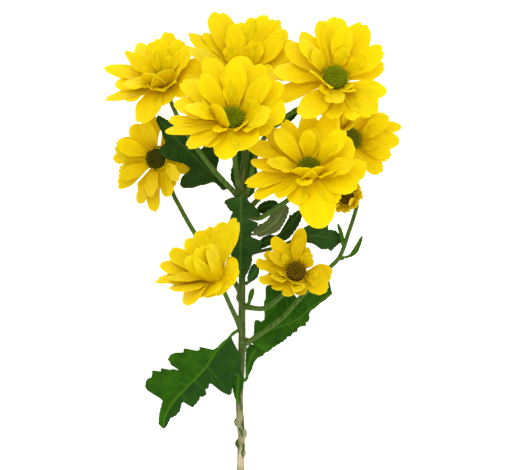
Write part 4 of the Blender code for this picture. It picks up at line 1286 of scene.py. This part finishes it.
@dataclass(frozen=True)
class Stem:
    """The main stem and the flower stalks that branch off it, grown together."""

    main_route: tuple = (
        (0.3, -7.1, 1.9), (0.4, 0.3, 1.9), (0.4, 9.3, 1.9), (0.9, 17.3, 2.8), (0, 30.7, 5), (-0.2, 41.4, 6.5),
        (0.6, 54.7, 8.5), (1.1, 70.6, 11), (1.1, 86.5, 14.5), (1.2, 102.2, 18), (1.2, 117.8, 22), (1.2, 132.2, 26),
        (0.3, 146, 30), (1.2, 155, 32.4), (3.2, 168.9, 32), (3.6, 187, 28),
    )
    stalks: tuple = (
        ("crown_left", ((-0.8, 145.5, 30), (-9, 154, 34), (-16.8, 163, 35), (-25.7, 175.7, 32), (-32.0, 186.4, 24))),
        ("crown_right", ((1.2, 142.5, 29), (4.8, 151.1, 31), (7.5, 163.8, 33), (15.5, 179, 34), (31, 190.5, 34))),
        ("front_left", ((-0.6, 150.6, 31.5), (-2, 160, 38), (-2.6, 168.5, 46))),
        ("front_right", ((1.7, 138.9, 28), (5.3, 135.3, 28), (9.9, 134.2, 29.2), (14.5, 136.5, 32),
                         (20.1, 140.3, 37.5), (24.5, 143.2, 41.5))),
        ("far_right", ((1.7, 135.3, 27), (11.5, 145.6, 24), (28.6, 157, 18), (41, 165.8, 11))),
        ("far_left", ((0.6, 95.5, 16.8), (-4.4, 103, 12), (-13.6, 113.5, 9.5), (-23, 125.5, 9), (-31.7, 140.6, 8),
                      (-36.2, 150.8, 7))),
        ("low_left", ((0.4, 77.5, 12.5), (-1.7, 82, 15.5), (-4.6, 88.4, 21.5), (-7, 94.2, 27))),
        ("low_right", ((1.7, 88.6, 15), (6.4, 87.7, 18), (13.1, 87.8, 22), (19.7, 92.6, 26))),
        ("bud_right", ((1.1, 68.5, 10.5), (5.3, 70.1, 12), (11.6, 74.4, 13), (22.5, 82.8, 14), (31.4, 92.7, 14),
                       (39.2, 100.5, 13.5), (46, 107.6, 13), (52.4, 114.6, 12.5), (57, 127, 10), (60, 135.5, 7))),
    )
    knobs: tuple = (
        (2.1, 20.8, 3.2), (-0.8, 15.5, 2.6), (1.4, 10.2, 2.1), (-1.3, 27, 4.6), (2.0, 66, 10.3), (-0.2, 93, 16),
    )
    knob_radius: float = 1.9
    main_radius: tuple = (2.1, 1.7)
    stalk_radius: tuple = (1.4, 1.15)
    stalk_flare: float = 0.55
    voxel: float = 0.36
    ribs: int = 6
    rib_depth: float = 0.12
    rib_twist: float = 0.03
    rib_middle: float = 0.6
    ribbed_from: float = 30.0
    ribbed_over: float = 40.0
    grows_green_over: float = 12.0
    floor_gap: float = 0.02

    def ends(self, head: FlowerHead) -> tuple[Vector, Vector]:
        """Return the last two points of the stalk that carries a head."""
        base = SIZES.calyx_base - SIZES.neck_gap
        return head.at(base - SIZES.neck), head.at(base + 1.0)

    def tube(self, route: list[Vector], radii: tuple, flare: float) -> Object:
        """Make one tapering stalk that swells where it branches off and where it meets its head.

        Args:
            route: Its middle line.
            radii: Radius at its start and end.
            flare: How much it swells at both ends.

        Returns:
            A closed mesh object.
        """
        curve = bpy.data.curves.new("stalk", "CURVE")
        curve.dimensions = "3D"
        curve.bevel_depth = MM
        curve.bevel_resolution = 4
        curve.use_fill_caps = True
        spline = curve.splines.new("POLY")
        spline.points.add(len(route) - 1)
        runs = runs_along(route)
        for point, place, run in zip(spline.points, route, runs):
            swell = flare * (math.exp(-run / 3.0) + 0.8 * math.exp((run - runs[-1]) / 1.8))
            point.co = (*(place * MM), 1.0)
            point.radius = radii[0] + (radii[1] - radii[0]) * run / runs[-1] + swell
        guide = put("stalk", curve)
        mesh = take_shape(guide)
        bpy.data.objects.remove(guide, do_unlink=True)
        bpy.data.curves.remove(curve)
        return put("stalk", mesh)

    def grow(self) -> tuple[BMesh, list[tuple[Vector, float, float]]]:
        """Gather every stalk and knob in one mesh.

        Returns:
            The mesh in metres, and points of the middle lines with their run along the line and youth.
        """
        heads = {head.name: head for head in HEADS}
        main = smooth_route((*self.main_route, *self.ends(heads["crown_back"])), 5)
        tubes = [(main, self.main_radius, 0.0, 0.0)]
        for name, stalk in self.stalks:
            route = smooth_route((*stalk, *self.ends(heads[name])), 6)
            tubes.append((route, self.stalk_radius, self.stalk_flare, 1.0))
        bm = bmesh.new()
        lines = []
        for route, radii, flare, youth in tubes:
            obj = self.tube(route, radii, flare)
            bm.from_mesh(obj.data)
            bpy.data.objects.remove(obj, do_unlink=True)
            lines += [(place, run, youth) for place, run in zip(route, runs_along(route))]
        bmesh.ops.remove_doubles(bm, verts=bm.verts, dist=1e-6)
        for place in self.knobs:
            knob = bmesh.ops.create_icosphere(bm, subdivisions=3, radius=self.knob_radius * MM)["verts"]
            bmesh.ops.scale(bm, vec=(1.0, 1.35, 0.95), verts=knob)
            bmesh.ops.translate(bm, vec=Vector(place) * MM, verts=knob)
        return bm, lines

    def build(self, surface: Material) -> Object:
        """Build the whole stem as one grown-together skin with ribs along it.

        Args:
            surface: Its material.

        Returns:
            The piece.
        """
        bm, lines = self.grow()
        rough = put_mesh("stem_rough", bm)
        skin = rough.modifiers.new("skin", "REMESH")
        skin.mode = "VOXEL"
        skin.voxel_size = self.voxel * MM
        apply_modifiers(rough)
        bm = bmesh.new()
        bm.from_mesh(rough.data)
        bpy.data.objects.remove(rough, do_unlink=True)
        bmesh.ops.scale(bm, vec=(1 / MM, 1 / MM, 1 / MM), verts=bm.verts)
        for _ in range(3):
            bmesh.ops.smooth_vert(bm, verts=bm.verts, factor=0.5, use_axis_x=True, use_axis_y=True, use_axis_z=True)
        self.rib(bm, lines)
        return finish_piece(bm, "stem_fine", surface, stands_for="stem", crease=80.0)

    def rib(self, bm: BMesh, lines: list[tuple[Vector, float, float]]) -> None:
        """Raise ribs along every stalk and note them, and how young the skin is, on the vertices.

        Args:
            bm: The stem's skin in millimetres.
            lines: Points of the middle lines with their run along the line and youth.
        """
        centres = np.array([tuple(place) for place, _, _ in lines])
        rib_layer = bm.verts.layers.float.new("rib")
        young_layer = bm.verts.layers.float.new("young")
        bm.normal_update()
        for vert in bm.verts:
            spot = np.array(vert.co)
            nearest = int(((centres - spot) ** 2).sum(axis=1).argmin())
            _, run, youth = lines[nearest]
            away = spot - centres[nearest]
            turn = math.atan2(away[2], away[0] if youth == 0 else away[0] - away[1])
            ridge = 0.5 + 0.5 * math.cos(self.ribs * turn + self.rib_twist * run)
            grown = clamp((vert.co.y - self.ribbed_from) / self.ribbed_over)
            vert[rib_layer] = ridge * grown + self.rib_middle * (1 - grown)
            vert[young_layer] = youth * min(1.0, run / self.grows_green_over)
            vert.co += vert.normal * (self.rib_depth * grown * (ridge - self.rib_middle))
            vert.co.z = max(vert.co.z, self.floor_gap)


# ---------------------------------------------------------------- leaves


@dataclass(frozen=True)
class Leaf:
    """A lobed leaf: a petiole that widens into a toothed blade whose lobes are swept towards the tip.

    The two sides give, from the petiole to the tip, pairs of the share of the blade and the reach from the midrib.
    fold and shade give the rise per millimetre and the painted shade (dimness) of the left side and the right side.
    """

    name: str
    blade_from: float
    route: tuple
    left: tuple
    right: tuple
    joint: tuple
    fold: tuple = (0.05, 0.05)
    # painted shade on the left and the right side, 0 to 1
    shade: tuple = (0.0, 0.0)
    tone: LeafTone = LeafTone.GREEN
    rows: int = 40
    cells: int = 7
    sweep: float = 15.0
    thick: float = 0.45
    petiole: float = 0.9
    tooth: float = 0.35
    tooth_length: float = 2.6
    wave: float = 0.05
    vein_depth: float = 0.22
    map_size: float = 30.0
    clear: float = 0.5

    def edge_reach(self, edge: tuple, t: float, run: float) -> float:
        """Return how far one side reaches from the midrib.

        Args:
            edge: The side's shares and reaches.
            t: Share of the blade.
            run: Distance along the midrib, for the teeth.

        Returns:
            The reach in millimetres, with small teeth.
        """
        stations = ((0.0, self.petiole), *edge, (1.0, 0.3 * self.petiole))
        reach = 0.0
        for step in (-0.006, 0.0, 0.006):
            at = clamp(t + step)
            after = next(i for i in range(1, len(stations)) if at <= stations[i][0])
            (t0, reach0), (t1, reach1) = stations[after - 1], stations[after]
            reach += (reach0 + (reach1 - reach0) * (at - t0) / (t1 - t0)) / 3
        scallop = abs(math.sin(run * math.pi / self.tooth_length)) - 0.6
        return reach + min(self.tooth, 0.08 * reach) * scallop

    def lobe_tips(self, edge: tuple) -> list[tuple[float, float]]:
        """Find the lobes' tips on one side.

        Args:
            edge: The side's shares and reaches.

        Returns:
            The share and reach of each tip.
        """
        tips = []
        for t, reach in edge:
            near = [r for u, r in edge if abs(u - t) < 0.08]
            if reach == max(near) and reach > 1.25 * min(near) and reach > 2.5:
                tips.append((t, reach))
        return tips

    def vein_mask(self, tips: list[tuple[float, float]], t: float, reach: float, length: float) -> float:
        """Return how strongly a point lies on a vein.

        Args:
            tips: The side's lobe tips.
            t: Share of the blade.
            reach: Distance from the midrib.
            length: The blade's length.

        Returns:
            0 off the veins to 1 on the midrib.
        """
        mask = bump(reach, 0.45)
        for at, far in tips:
            off = (t - at) * length * math.cos(math.radians(self.sweep))
            if reach < far:
                mask = max(mask, 0.55 * bump(off, 0.36) * (1 - reach / (far + 1)))
                mask = max(mask, 0.2 * bump(abs(off) - 0.34 * reach, 0.3) * (1 - reach / (far + 1)))
        return mask

    def build(self, surface: Material) -> Object:
        """Build the leaf as one sheet with thickness.

        Args:
            surface: Its material.

        Returns:
            The piece.
        """
        bm = new_sketch()
        vein = bm.verts.layers.float.new("vein")
        self.lay_blade(bm, vein)
        self.add_petiole(bm, vein)
        return finish_piece(bm, self.name + "_fine", surface, self.thick, stands_for=self.name, crease=70.0)

    def lay_blade(self, bm: BMesh, vein: object) -> None:
        """Lay the blade along its midrib, with sunken veins, a side darkened by painted shade and its own UV map.

        Args:
            bm: The leaf's mesh.
            vein: The layer that notes the veins.
        """
        painted_shade = bm.verts.layers.float.new("painted_shade")
        uv = bm.loops.layers.uv.verify()
        route = smooth_route(self.route, 8)
        runs = runs_along(route)
        length = runs[-1] * (1 - self.blade_from)
        along = (route[-1] - route[len(route) // 5]).normalized()
        up = Vector((0, 0, 1))
        up = (up - along * up.dot(along)).normalized()
        left = up.cross(along)
        sides = ((self.right, self.lobe_tips(self.right), self.fold[1], self.shade[1], -1),
                 (self.left, self.lobe_tips(self.left), self.fold[0], self.shade[0], 1))
        for vert, share, x in lay_sheet(bm, self.rows, 2 * self.cells):
            low = max(i for i in range(len(route) - 1) if runs[i] <= share * runs[-1])
            spine = route[low].lerp(route[low + 1], (share * runs[-1] - runs[low]) / (runs[low + 1] - runs[low]))
            edge, tips, fold, shade, sign = sides[x > 0]
            t = (share - self.blade_from) / (1 - self.blade_from)
            half = self.petiole * (0.3 if share > 0.999 else 1)
            lean = 0.0
            if t > 0 and share < 0.999:
                half = self.edge_reach(edge, t, t * length)
                lean = math.radians(self.sweep) * ease(t / 0.03)
            reach = abs(x) ** 1.5 * half
            across = left * (sign * math.cos(lean)) + along * math.sin(lean)
            lift = fold * reach + self.wave * math.sin(9 * t + sign) * reach
            mask = self.vein_mask(tips, t, reach, length) if t > 0 else 0.7
            sink = self.vein_depth * mask * ease(t / 0.05)
            vert.co = spine + across * reach + up * (lift - sink + 0.12)
            vert.co.z = max(vert.co.z, self.clear)
            vert[vein] = mask
            # painted shade: the dimmed side is darkened as if turned from the light
            vert[painted_shade] = shade * ease(reach)
            for loop in vert.link_loops:
                loop[uv].uv = (t * length / self.map_size, sign * reach / self.map_size)

    def add_petiole(self, bm: BMesh, vein: object) -> None:
        """Carry the petiole on from the blade's first point into the stem.

        Args:
            bm: The leaf's mesh.
            vein: The layer that notes the veins.
        """
        start, end = Vector(self.route[0]), Vector(self.joint)
        side = (end - start).cross(Vector((0, 0, 1))).normalized()
        for vert, s, q in lay_sheet(bm, 3, 2):
            vert.co = start.lerp(end, s) + side * (q * self.petiole) + Vector((0, 0, 0.3 * (1 - q * q)))
            vert[vein] = 0.7


LEAVES = (
    Leaf(
        # painted shade darkens this leaf's left side, the lower right half seen from above
        "leaf_low_left", blade_from=0.02, joint=(0.8, 76.4, 12.2), fold=(0.03, -0.16), shade=(0.6, 0), rows=190,
        cells=11,
        route=((-2.2, 75.1, 12), (-5.6, 72.1, 13.5), (-11.9, 65.6, 14.5), (-16.1, 58.8, 13.5), (-21.3, 52.4, 12),
               (-28.2, 45.4, 9.5), (-34.6, 38.3, 7), (-38.9, 31.3, 5.2), (-40.5, 23.6, 4.5)),
        left=((0.04, 0.7), (0.045, 2.4), (0.058, 5.5), (0.063, 7.9), (0.077, 11.1), (0.115, 14.2), (0.158, 16.4),
              (0.223, 16.3), (0.282, 17.6), (0.345, 19.5), (0.367, 19.2), (0.375, 17.2), (0.395, 15.2), (0.4, 13),
              (0.405, 11.1), (0.41, 8.2), (0.415, 7.1), (0.432, 7.3), (0.448, 8.2), (0.49, 7.8), (0.497, 10),
              (0.53, 9.8), (0.557, 8.5), (0.585, 9.5), (0.66, 9.7), (0.677, 7.7), (0.682, 6.2), (0.687, 4.5),
              (0.693, 3.8), (0.733, 4.5), (0.757, 5.7), (0.805, 5.6), (0.84, 4.9), (0.865, 3.5), (0.905, 3.2),
              (0.96, 2.1), (0.995, 0.6)),
        right=((0.068, 0.5), (0.115, 0.9), (0.168, 0.8), (0.205, 1.7), (0.21, 5.2), (0.215, 8.2), (0.22, 8.8),
               (0.245, 7.8), (0.26, 8.8), (0.265, 10.4), (0.27, 13), (0.275, 15.9), (0.307, 14.4), (0.325, 16),
               (0.345, 18.6), (0.378, 19.5), (0.422, 18.9), (0.432, 17.4), (0.458, 15.4), (0.463, 13.6),
               (0.468, 10.5), (0.473, 7.9), (0.478, 11), (0.483, 13.8), (0.505, 12.9), (0.51, 16.2), (0.515, 18.4),
               (0.555, 16.6), (0.56, 19), (0.575, 20.8), (0.627, 18.4), (0.672, 19.5), (0.725, 17.9), (0.76, 15.3),
               (0.765, 11.9), (0.77, 8.9), (0.775, 6.8), (0.78, 5.1), (0.785, 5.1), (0.825, 4.3), (0.875, 3.6),
               (0.925, 3.2), (0.98, 2.9)),
    ),
    Leaf(
        "leaf_low_right", blade_from=0.02, joint=(1.4, 71.6, 10.6), rows=170, cells=10, sweep=20,
        route=((4.4, 70.5, 10), (7.4, 71.3, 9), (11.6, 73.3, 8), (16.9, 75.6, 7), (22.7, 77.7, 6.5),
               (28.4, 80.1, 6.5), (33.2, 83.5, 6.8), (38.4, 87.7, 7.2), (43.6, 91.9, 7.6), (48.4, 94.8, 8)),
        left=((0.003, 0.8), (0.045, 1.6), (0.058, 2.6), (0.063, 5.3), (0.077, 6.5), (0.087, 8.7), (0.115, 8.5),
              (0.152, 6.6), (0.195, 6.6), (0.205, 8.5), (0.21, 10.6), (0.215, 12.1), (0.22, 15.5), (0.25, 16.7),
              (0.258, 19.8), (0.263, 21.6), (0.275, 22.9), (0.323, 23.4), (0.388, 23.3), (0.47, 21.3), (0.532, 16),
              (0.585, 10.2), (0.635, 9.2), (0.7, 11.9), (0.8, 13.5), (0.902, 12.4), (0.995, 11.1)),
        right=((0.003, 1.6), (0.008, 4.3), (0.013, 6.4), (0.018, 8.6), (0.023, 11.1), (0.028, 10.6), (0.09, 9.7),
               (0.182, 9.1), (0.247, 8.7), (0.282, 8), (0.32, 7), (0.352, 7.4), (0.388, 5.9), (0.432, 6.3),
               (0.472, 4.7), (0.497, 4.1), (0.525, 5), (0.555, 5.5), (0.58, 4.2), (0.62, 4.5), (0.647, 3),
               (0.67, 1.6), (0.713, 0.8), (0.76, 1.1), (0.83, 0.9), (0.905, 1.2), (0.983, 0.3)),
    ),
    Leaf(
        # painted shade darkens this leaf's right side
        "leaf_upper_left", blade_from=0.05, joint=(-0.2, 146.4, 29), fold=(0.02, 0.02), shade=(0, 0.25),
        tone=LeafTone.DARK, rows=170, cells=9,
        route=((-3.7, 148.2, 26.5), (-9.1, 153.1, 26), (-14.7, 157.4, 26.5), (-20.4, 162.6, 26),
               (-25.5, 168, 25.6), (-30.2, 172.4, 25.2), (-35.9, 178.6, 24.8), (-40.5, 183.8, 24.5),
               (-42.3, 187.1, 24)),
        left=((0.003, 2.5), (0.008, 3.2), (0.025, 3.3), (0.085, 3), (0.128, 3.3), (0.133, 5.1), (0.138, 7.3),
              (0.143, 8.6), (0.148, 8.5), (0.16, 8.8), (0.165, 10.5), (0.17, 13.3), (0.188, 13.6), (0.198, 15.1),
              (0.225, 16.2), (0.255, 16.4), (0.302, 14.4), (0.33, 12.2), (0.343, 10.5), (0.348, 8.1), (0.353, 6.5),
              (0.372, 5.7), (0.42, 6.1), (0.458, 7), (0.495, 8.9), (0.545, 10.6), (0.595, 11.6), (0.637, 11.8),
              (0.693, 11.3), (0.705, 9.3), (0.71, 7.1), (0.715, 5.5), (0.743, 5), (0.802, 4), (0.863, 2.8),
              (0.915, 2.2), (0.968, 1.7)),
        right=((0.003, 0.7), (0.1, 1.2), (0.18, 2.5), (0.203, 4.9), (0.22, 7.8), (0.265, 10.3), (0.307, 12.8),
               (0.338, 14.5), (0.388, 14.2), (0.415, 11.2), (0.42, 7.4), (0.438, 4.8), (0.507, 4.7), (0.578, 6.6),
               (0.652, 7.1), (0.72, 5.8), (0.775, 4.2), (0.84, 4), (0.887, 3.3), (0.922, 2.6), (0.968, 1.5)),
    ),
    Leaf(
        "leaf_hanging", blade_from=0.01, joint=(0.3, 148.5, 31), fold=(0.03, -0.1), tone=LeafTone.BLUISH, rows=110,
        cells=8,
        route=((0.8, 145.4, 35.4), (0.8, 140.3, 33.6), (0.7, 133.2, 30), (0.5, 123, 26.6), (0.4, 113.7, 24.4),
               (0.7, 102.3, 21.9)),
        left=((0.003, 2.5), (0.037, 4.7), (0.065, 6.8), (0.1, 8.9), (0.147, 10.3), (0.19, 9), (0.195, 6.3),
              (0.2, 4.2), (0.25, 4), (0.258, 5.8), (0.263, 9.5), (0.295, 9), (0.37, 6.5), (0.458, 5), (0.468, 8.7),
              (0.475, 11.4), (0.5, 11.9), (0.54, 10.3), (0.595, 10.7), (0.625, 8.3), (0.665, 6.4), (0.75, 6.2),
              (0.855, 4.5), (0.953, 2.2)),
        right=((0.003, 2.8), (0.008, 5.6), (0.013, 7.7), (0.022, 9), (0.072, 7.4), (0.14, 5.9), (0.145, 4.3),
               (0.195, 5.1), (0.253, 6.1), (0.345, 5.2), (0.46, 4.1), (0.575, 5.4), (0.693, 5), (0.795, 3.5),
               (0.873, 2), (0.948, 1)),
    ),
    Leaf(
        "leaf_pale", blade_from=0.08, joint=(1.4, 125.8, 24.4), fold=(0.1, 0.1), tone=LeafTone.PALE, rows=80,
        sweep=30,
        route=((6.1, 125.8, 25.4), (8.9, 126.2, 25.8), (12.5, 127.6, 26.6), (16.1, 130.2, 28), (19.2, 133.2, 29.4),
               (21.7, 136.8, 30.2), (23.8, 140.9, 30.8)),
        left=((0.003, 2.7), (0.065, 3.8), (0.168, 4.2), (0.268, 3.9), (0.388, 4.1), (0.48, 5.1), (0.637, 5.2),
              (0.785, 4.7), (0.948, 1.9)),
        right=((0.003, 0.3), (0.008, 3.6), (0.155, 4.4), (0.25, 5.2), (0.37, 5.4), (0.583, 4.1), (0.743, 3.4),
               (0.865, 2.9), (0.953, 2.1)),
    ),
    Leaf(
        "leaf_small_dark", blade_from=0.08, joint=(21.8, 141, 38.4), tone=LeafTone.DARK, cells=5,
        route=((21, 140.7, 28.2), (17.7, 141.2, 27.4), (13.6, 140.5, 26.2), (8.9, 138.4, 25)),
        left=((0.022, 1.6), (0.2, 2.8), (0.427, 3.3), (0.7, 3.4), (0.922, 1.7)),
        right=((0.003, 1.2), (0.008, 2.5), (0.258, 2.7), (0.542, 2.5), (0.752, 2.1), (0.91, 1.3)),
    ),
    Leaf(
        "leaf_narrow", blade_from=0.08, joint=(1.4, 116.4, 21.4), fold=(0.06, 0.06), tone=LeafTone.DARK, rows=90,
        route=((5.1, 117.5, 22), (8.4, 119.6, 22.2), (12, 121.7, 22.6), (17.2, 124, 23.2), (21.8, 126.6, 24),
               (25.9, 130.7, 25), (29, 134.8, 26), (31.3, 138.1, 26.5)),
        left=((0.018, 1.2), (0.1, 1.4), (0.228, 2.6), (0.33, 2.3), (0.412, 0.5), (0.482, 0.7), (0.547, 1.6),
              (0.632, 2.4), (0.72, 3), (0.792, 3.9), (0.807, 2.7), (0.873, 2.5), (0.958, 1.3)),
        right=((0.003, 1.4), (0.037, 2.6), (0.135, 3.2), (0.24, 3.3), (0.393, 3.6), (0.472, 4.7), (0.568, 4.3),
               (0.675, 4), (0.77, 3.6), (0.88, 3), (0.968, 2)),
    ),
    Leaf(
        "leaf_right", blade_from=0.5, joint=(1.4, 114.2, 20.6), fold=(0.04, 0.04), tone=LeafTone.BLUISH, rows=120,
        sweep=35,
        route=((5.4, 115.7, 20.4), (10, 117, 19.6), (15.7, 118.3, 18.6), (23, 120.6, 18), (30.2, 123.7, 18),
               (37.5, 125, 18), (42.7, 124.5, 17.4), (48.6, 123.7, 14.4), (52.6, 123.2, 12)),
        left=((0.037, 1.5), (0.042, 4.2), (0.052, 6.4), (0.14, 7.4), (0.273, 7.2), (0.38, 8.2), (0.432, 10),
              (0.48, 11.4), (0.542, 10.8), (0.547, 9), (0.552, 6.4), (0.598, 4.5), (0.69, 4.6), (0.79, 4.4),
              (0.935, 2.4)),
        right=((0.033, 1.2), (0.075, 2.8), (0.138, 3.6), (0.207, 4.8), (0.258, 6.8), (0.263, 9.4), (0.328, 9.5),
               (0.435, 9.1), (0.44, 10.8), (0.6, 7.6), (0.797, 4.3), (0.92, 2.4)),
    ),
    Leaf(
        "leaf_behind_right", blade_from=0.04, joint=(0.6, 142.4, 28.8), rows=70, cells=5,
        route=((3.3, 143.9, 27.2), (3.5, 148.7, 26.4), (3.8, 154.8, 26.3), (4, 162, 26.3), (4.3, 169.8, 26.3)),
        left=((0.003, 3.2), (0.085, 5.5), (0.19, 7.3), (0.295, 8.8), (0.443, 8.7), (0.598, 7.7), (0.745, 7.3),
              (0.882, 5.3), (0.968, 2.6)),
        right=((0.003, 1.8), (0.052, 4.1), (0.19, 5), (0.357, 4.8), (0.475, 5.5), (0.627, 4.6), (0.797, 3.9),
               (0.938, 2.2)),
    ),
    Leaf(
        "leaf_crown", blade_from=0.12, joint=(17.2, 180.4, 33.8), tone=LeafTone.DARK, cells=5,
        route=((19.4, 181.7, 31.5), (23, 184, 32), (26.3, 186.8, 32), (29.9, 190.4, 32)),
        left=((0.018, 1.8), (0.237, 2.2), (0.41, 2.4), (0.667, 1.8), (0.887, 1.4)),
        right=((0.003, 1.8), (0.193, 2.4), (0.505, 2.6), (0.8, 2), (0.96, 1.3)),
    ),
    Leaf(
        "leaf_behind", blade_from=0.1, joint=(1.4, 100.4, 17.5), tone=LeafTone.BLUISH, rows=36, cells=5,
        route=((4.2, 100.6, 18.2), (6.1, 103.2, 19), (7.9, 106.1, 19.8), (9.2, 109.8, 20.6)),
        left=((0.075, 1.9), (0.375, 3.1), (0.73, 3.4), (0.993, 2)),
        right=((0.035, 1.4), (0.31, 2.5), (0.61, 2.1), (0.887, 1.4)),
    ),
    Leaf(
        "bract_low_right", blade_from=0.1, joint=(0.6, 48.6, 7.4), cells=4,
        route=((3.6, 49.8, 6.5), (4, 54, 6.5), (5.2, 59.3, 6.5), (7.4, 64, 6.5), (10.6, 67.2, 6.5)),
        left=((0.005, 1), (0.19, 1.7), (0.427, 2.8), (0.64, 4), (0.848, 4.4)),
        right=((0.022, 1), (0.185, 2.1), (0.405, 2.4), (0.575, 3.3), (0.682, 5.4), (0.863, 5.8)),
    ),
    Leaf(
        "bract_low_front", blade_from=0.1, joint=(-0.6, 36.4, 6.2), fold=(0.02, 0.02), rows=34, cells=4,
        route=((-1.2, 37.4, 9), (-1.1, 44.4, 10.3), (-0.4, 53.4, 11.7)),
        left=((0.08, 1.7), (0.282, 2.6), (0.527, 3.1), (0.755, 3)),
        right=((0.098, 1.3), (0.345, 2.3), (0.625, 3.1), (0.858, 2.5)),
    ),
    Leaf(
        "bract_fork_right", blade_from=0.1, joint=(51.4, 113, 12.6), cells=4,
        route=((54.4, 113.7, 12.8), (58, 115.1, 13.6), (61.1, 119, 14.4), (63.8, 125, 15)),
        left=((0.077, 0.6), (0.31, 1.3), (0.552, 1.4), (0.805, 1)),
        right=((0.003, 0.9), (0.158, 1.3), (0.4, 1.6), (0.627, 1.2), (0.843, 0.9)),
    ),
    Leaf(
        "bract_fork_left", blade_from=0.1, joint=(54.8, 119.4, 11.8), rows=30, cells=4,
        route=((53.5, 121, 15), (52.6, 125.8, 16), (51, 131.3, 17)),
        left=((0.098, 0.7), (0.43, 0.8), (0.743, 0.8)),
        right=((0.003, 1.4), (0.362, 1.3), (0.71, 1.1)),
    ),
    Leaf(
        "bract_axil", blade_from=0.1, joint=(3.6, 88.2, 16.4), rows=34, cells=4,
        route=((4.9, 90.6, 18), (5.7, 93.4, 19.5), (7, 97.9, 21)),
        left=((0.015, 1), (0.41, 1.6), (0.76, 1.4)),
        right=((0.003, 0.9), (0.347, 1.2), (0.733, 1.2)),
    ),
)


# ---------------------------------------------------------------- studio


@dataclass(frozen=True)
class Softbox:
    """One square soft light."""

    name: str
    place: tuple
    target: tuple
    size: float
    power: float

    def hang(self) -> None:
        """Hang the light, turned to its target."""
        lamp = bpy.data.lights.new(self.name, "AREA")
        lamp.shape = "SQUARE"
        lamp.size = self.size
        lamp.energy = self.power
        obj = put(self.name, lamp)
        obj.location = self.place
        obj.rotation_euler = (Vector(self.target) - Vector(self.place)).to_track_quat("-Z", "Y").to_euler()


@dataclass(frozen=True)
class Studio:
    """The white floor, the soft lights and the camera above, in metres."""

    eye: tuple = (0.00662, 0.12554, 0.89167)
    focal_length: float = 120.0
    sensor_width: float = 36.0
    floor_size: float = 6.0
    air: float = 0.84
    lights: tuple = (
        Softbox("key_softbox", (-0.25, 0.75, 1.1), (0.0, 0.14, 0.0), size=1.1, power=6.0),
        Softbox("fill_softbox", (0.7, -0.35, 1.0), (0.0, 0.12, 0.0), size=1.0, power=4.0),
    )

    def build(self) -> None:
        """Set up floor, light and camera."""
        bm = bmesh.new()
        bmesh.ops.create_grid(bm, x_segments=1, y_segments=1, size=self.floor_size / 2)
        floor = put_mesh("floor", bm)
        floor.data.materials.append(FloorFinish().material())
        for light in self.lights:
            light.hang()
        world = bpy.data.worlds.new("studio_air")
        bpy.context.scene.world = world
        world.use_nodes = True
        air = {"Color": (*WHITE, 1.0), "Strength": self.air}
        Tree(world.node_tree).feed(world.node_tree.nodes["Background"], air)
        bpy.context.scene.view_settings.view_transform = "Standard"
        lens = bpy.data.cameras.new("camera")
        lens.lens = self.focal_length
        lens.sensor_width = self.sensor_width
        lens.clip_start = 0.01
        camera = put("camera", lens)
        camera.location = self.eye
        bpy.context.scene.camera = camera


def report_piece(obj: Object) -> None:
    """Log a piece's name and how many faces it has."""
    LOG.info("%s: %d faces", obj.name, len(obj.data.polygons))


def main() -> None:
    """Build the spray and its studio."""
    logging.basicConfig(level=logging.INFO, format="%(message)s")
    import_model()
    Studio().build()
    petal = PetalFinish().material()
    bract = BractFinish().material()
    discs = {tone: tone.value.material() for tone in DiscTone}
    leaves = {tone: tone.value.material() for tone in LeafTone}
    report_piece(Stem().build(StemFinish().material()))
    for head in HEADS:
        report_piece(head.build_petals(petal))
        report_piece(head.build_receptacle(petal))
        report_piece(head.build_disc(discs[head.tone]))
        report_piece(head.build_cup(bract))
        report_piece(head.build_bracts(bract))
    for leaf in LEAVES:
        report_piece(leaf.build(leaves[leaf.tone]))
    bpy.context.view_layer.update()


if __name__ == "__main__":
    main()
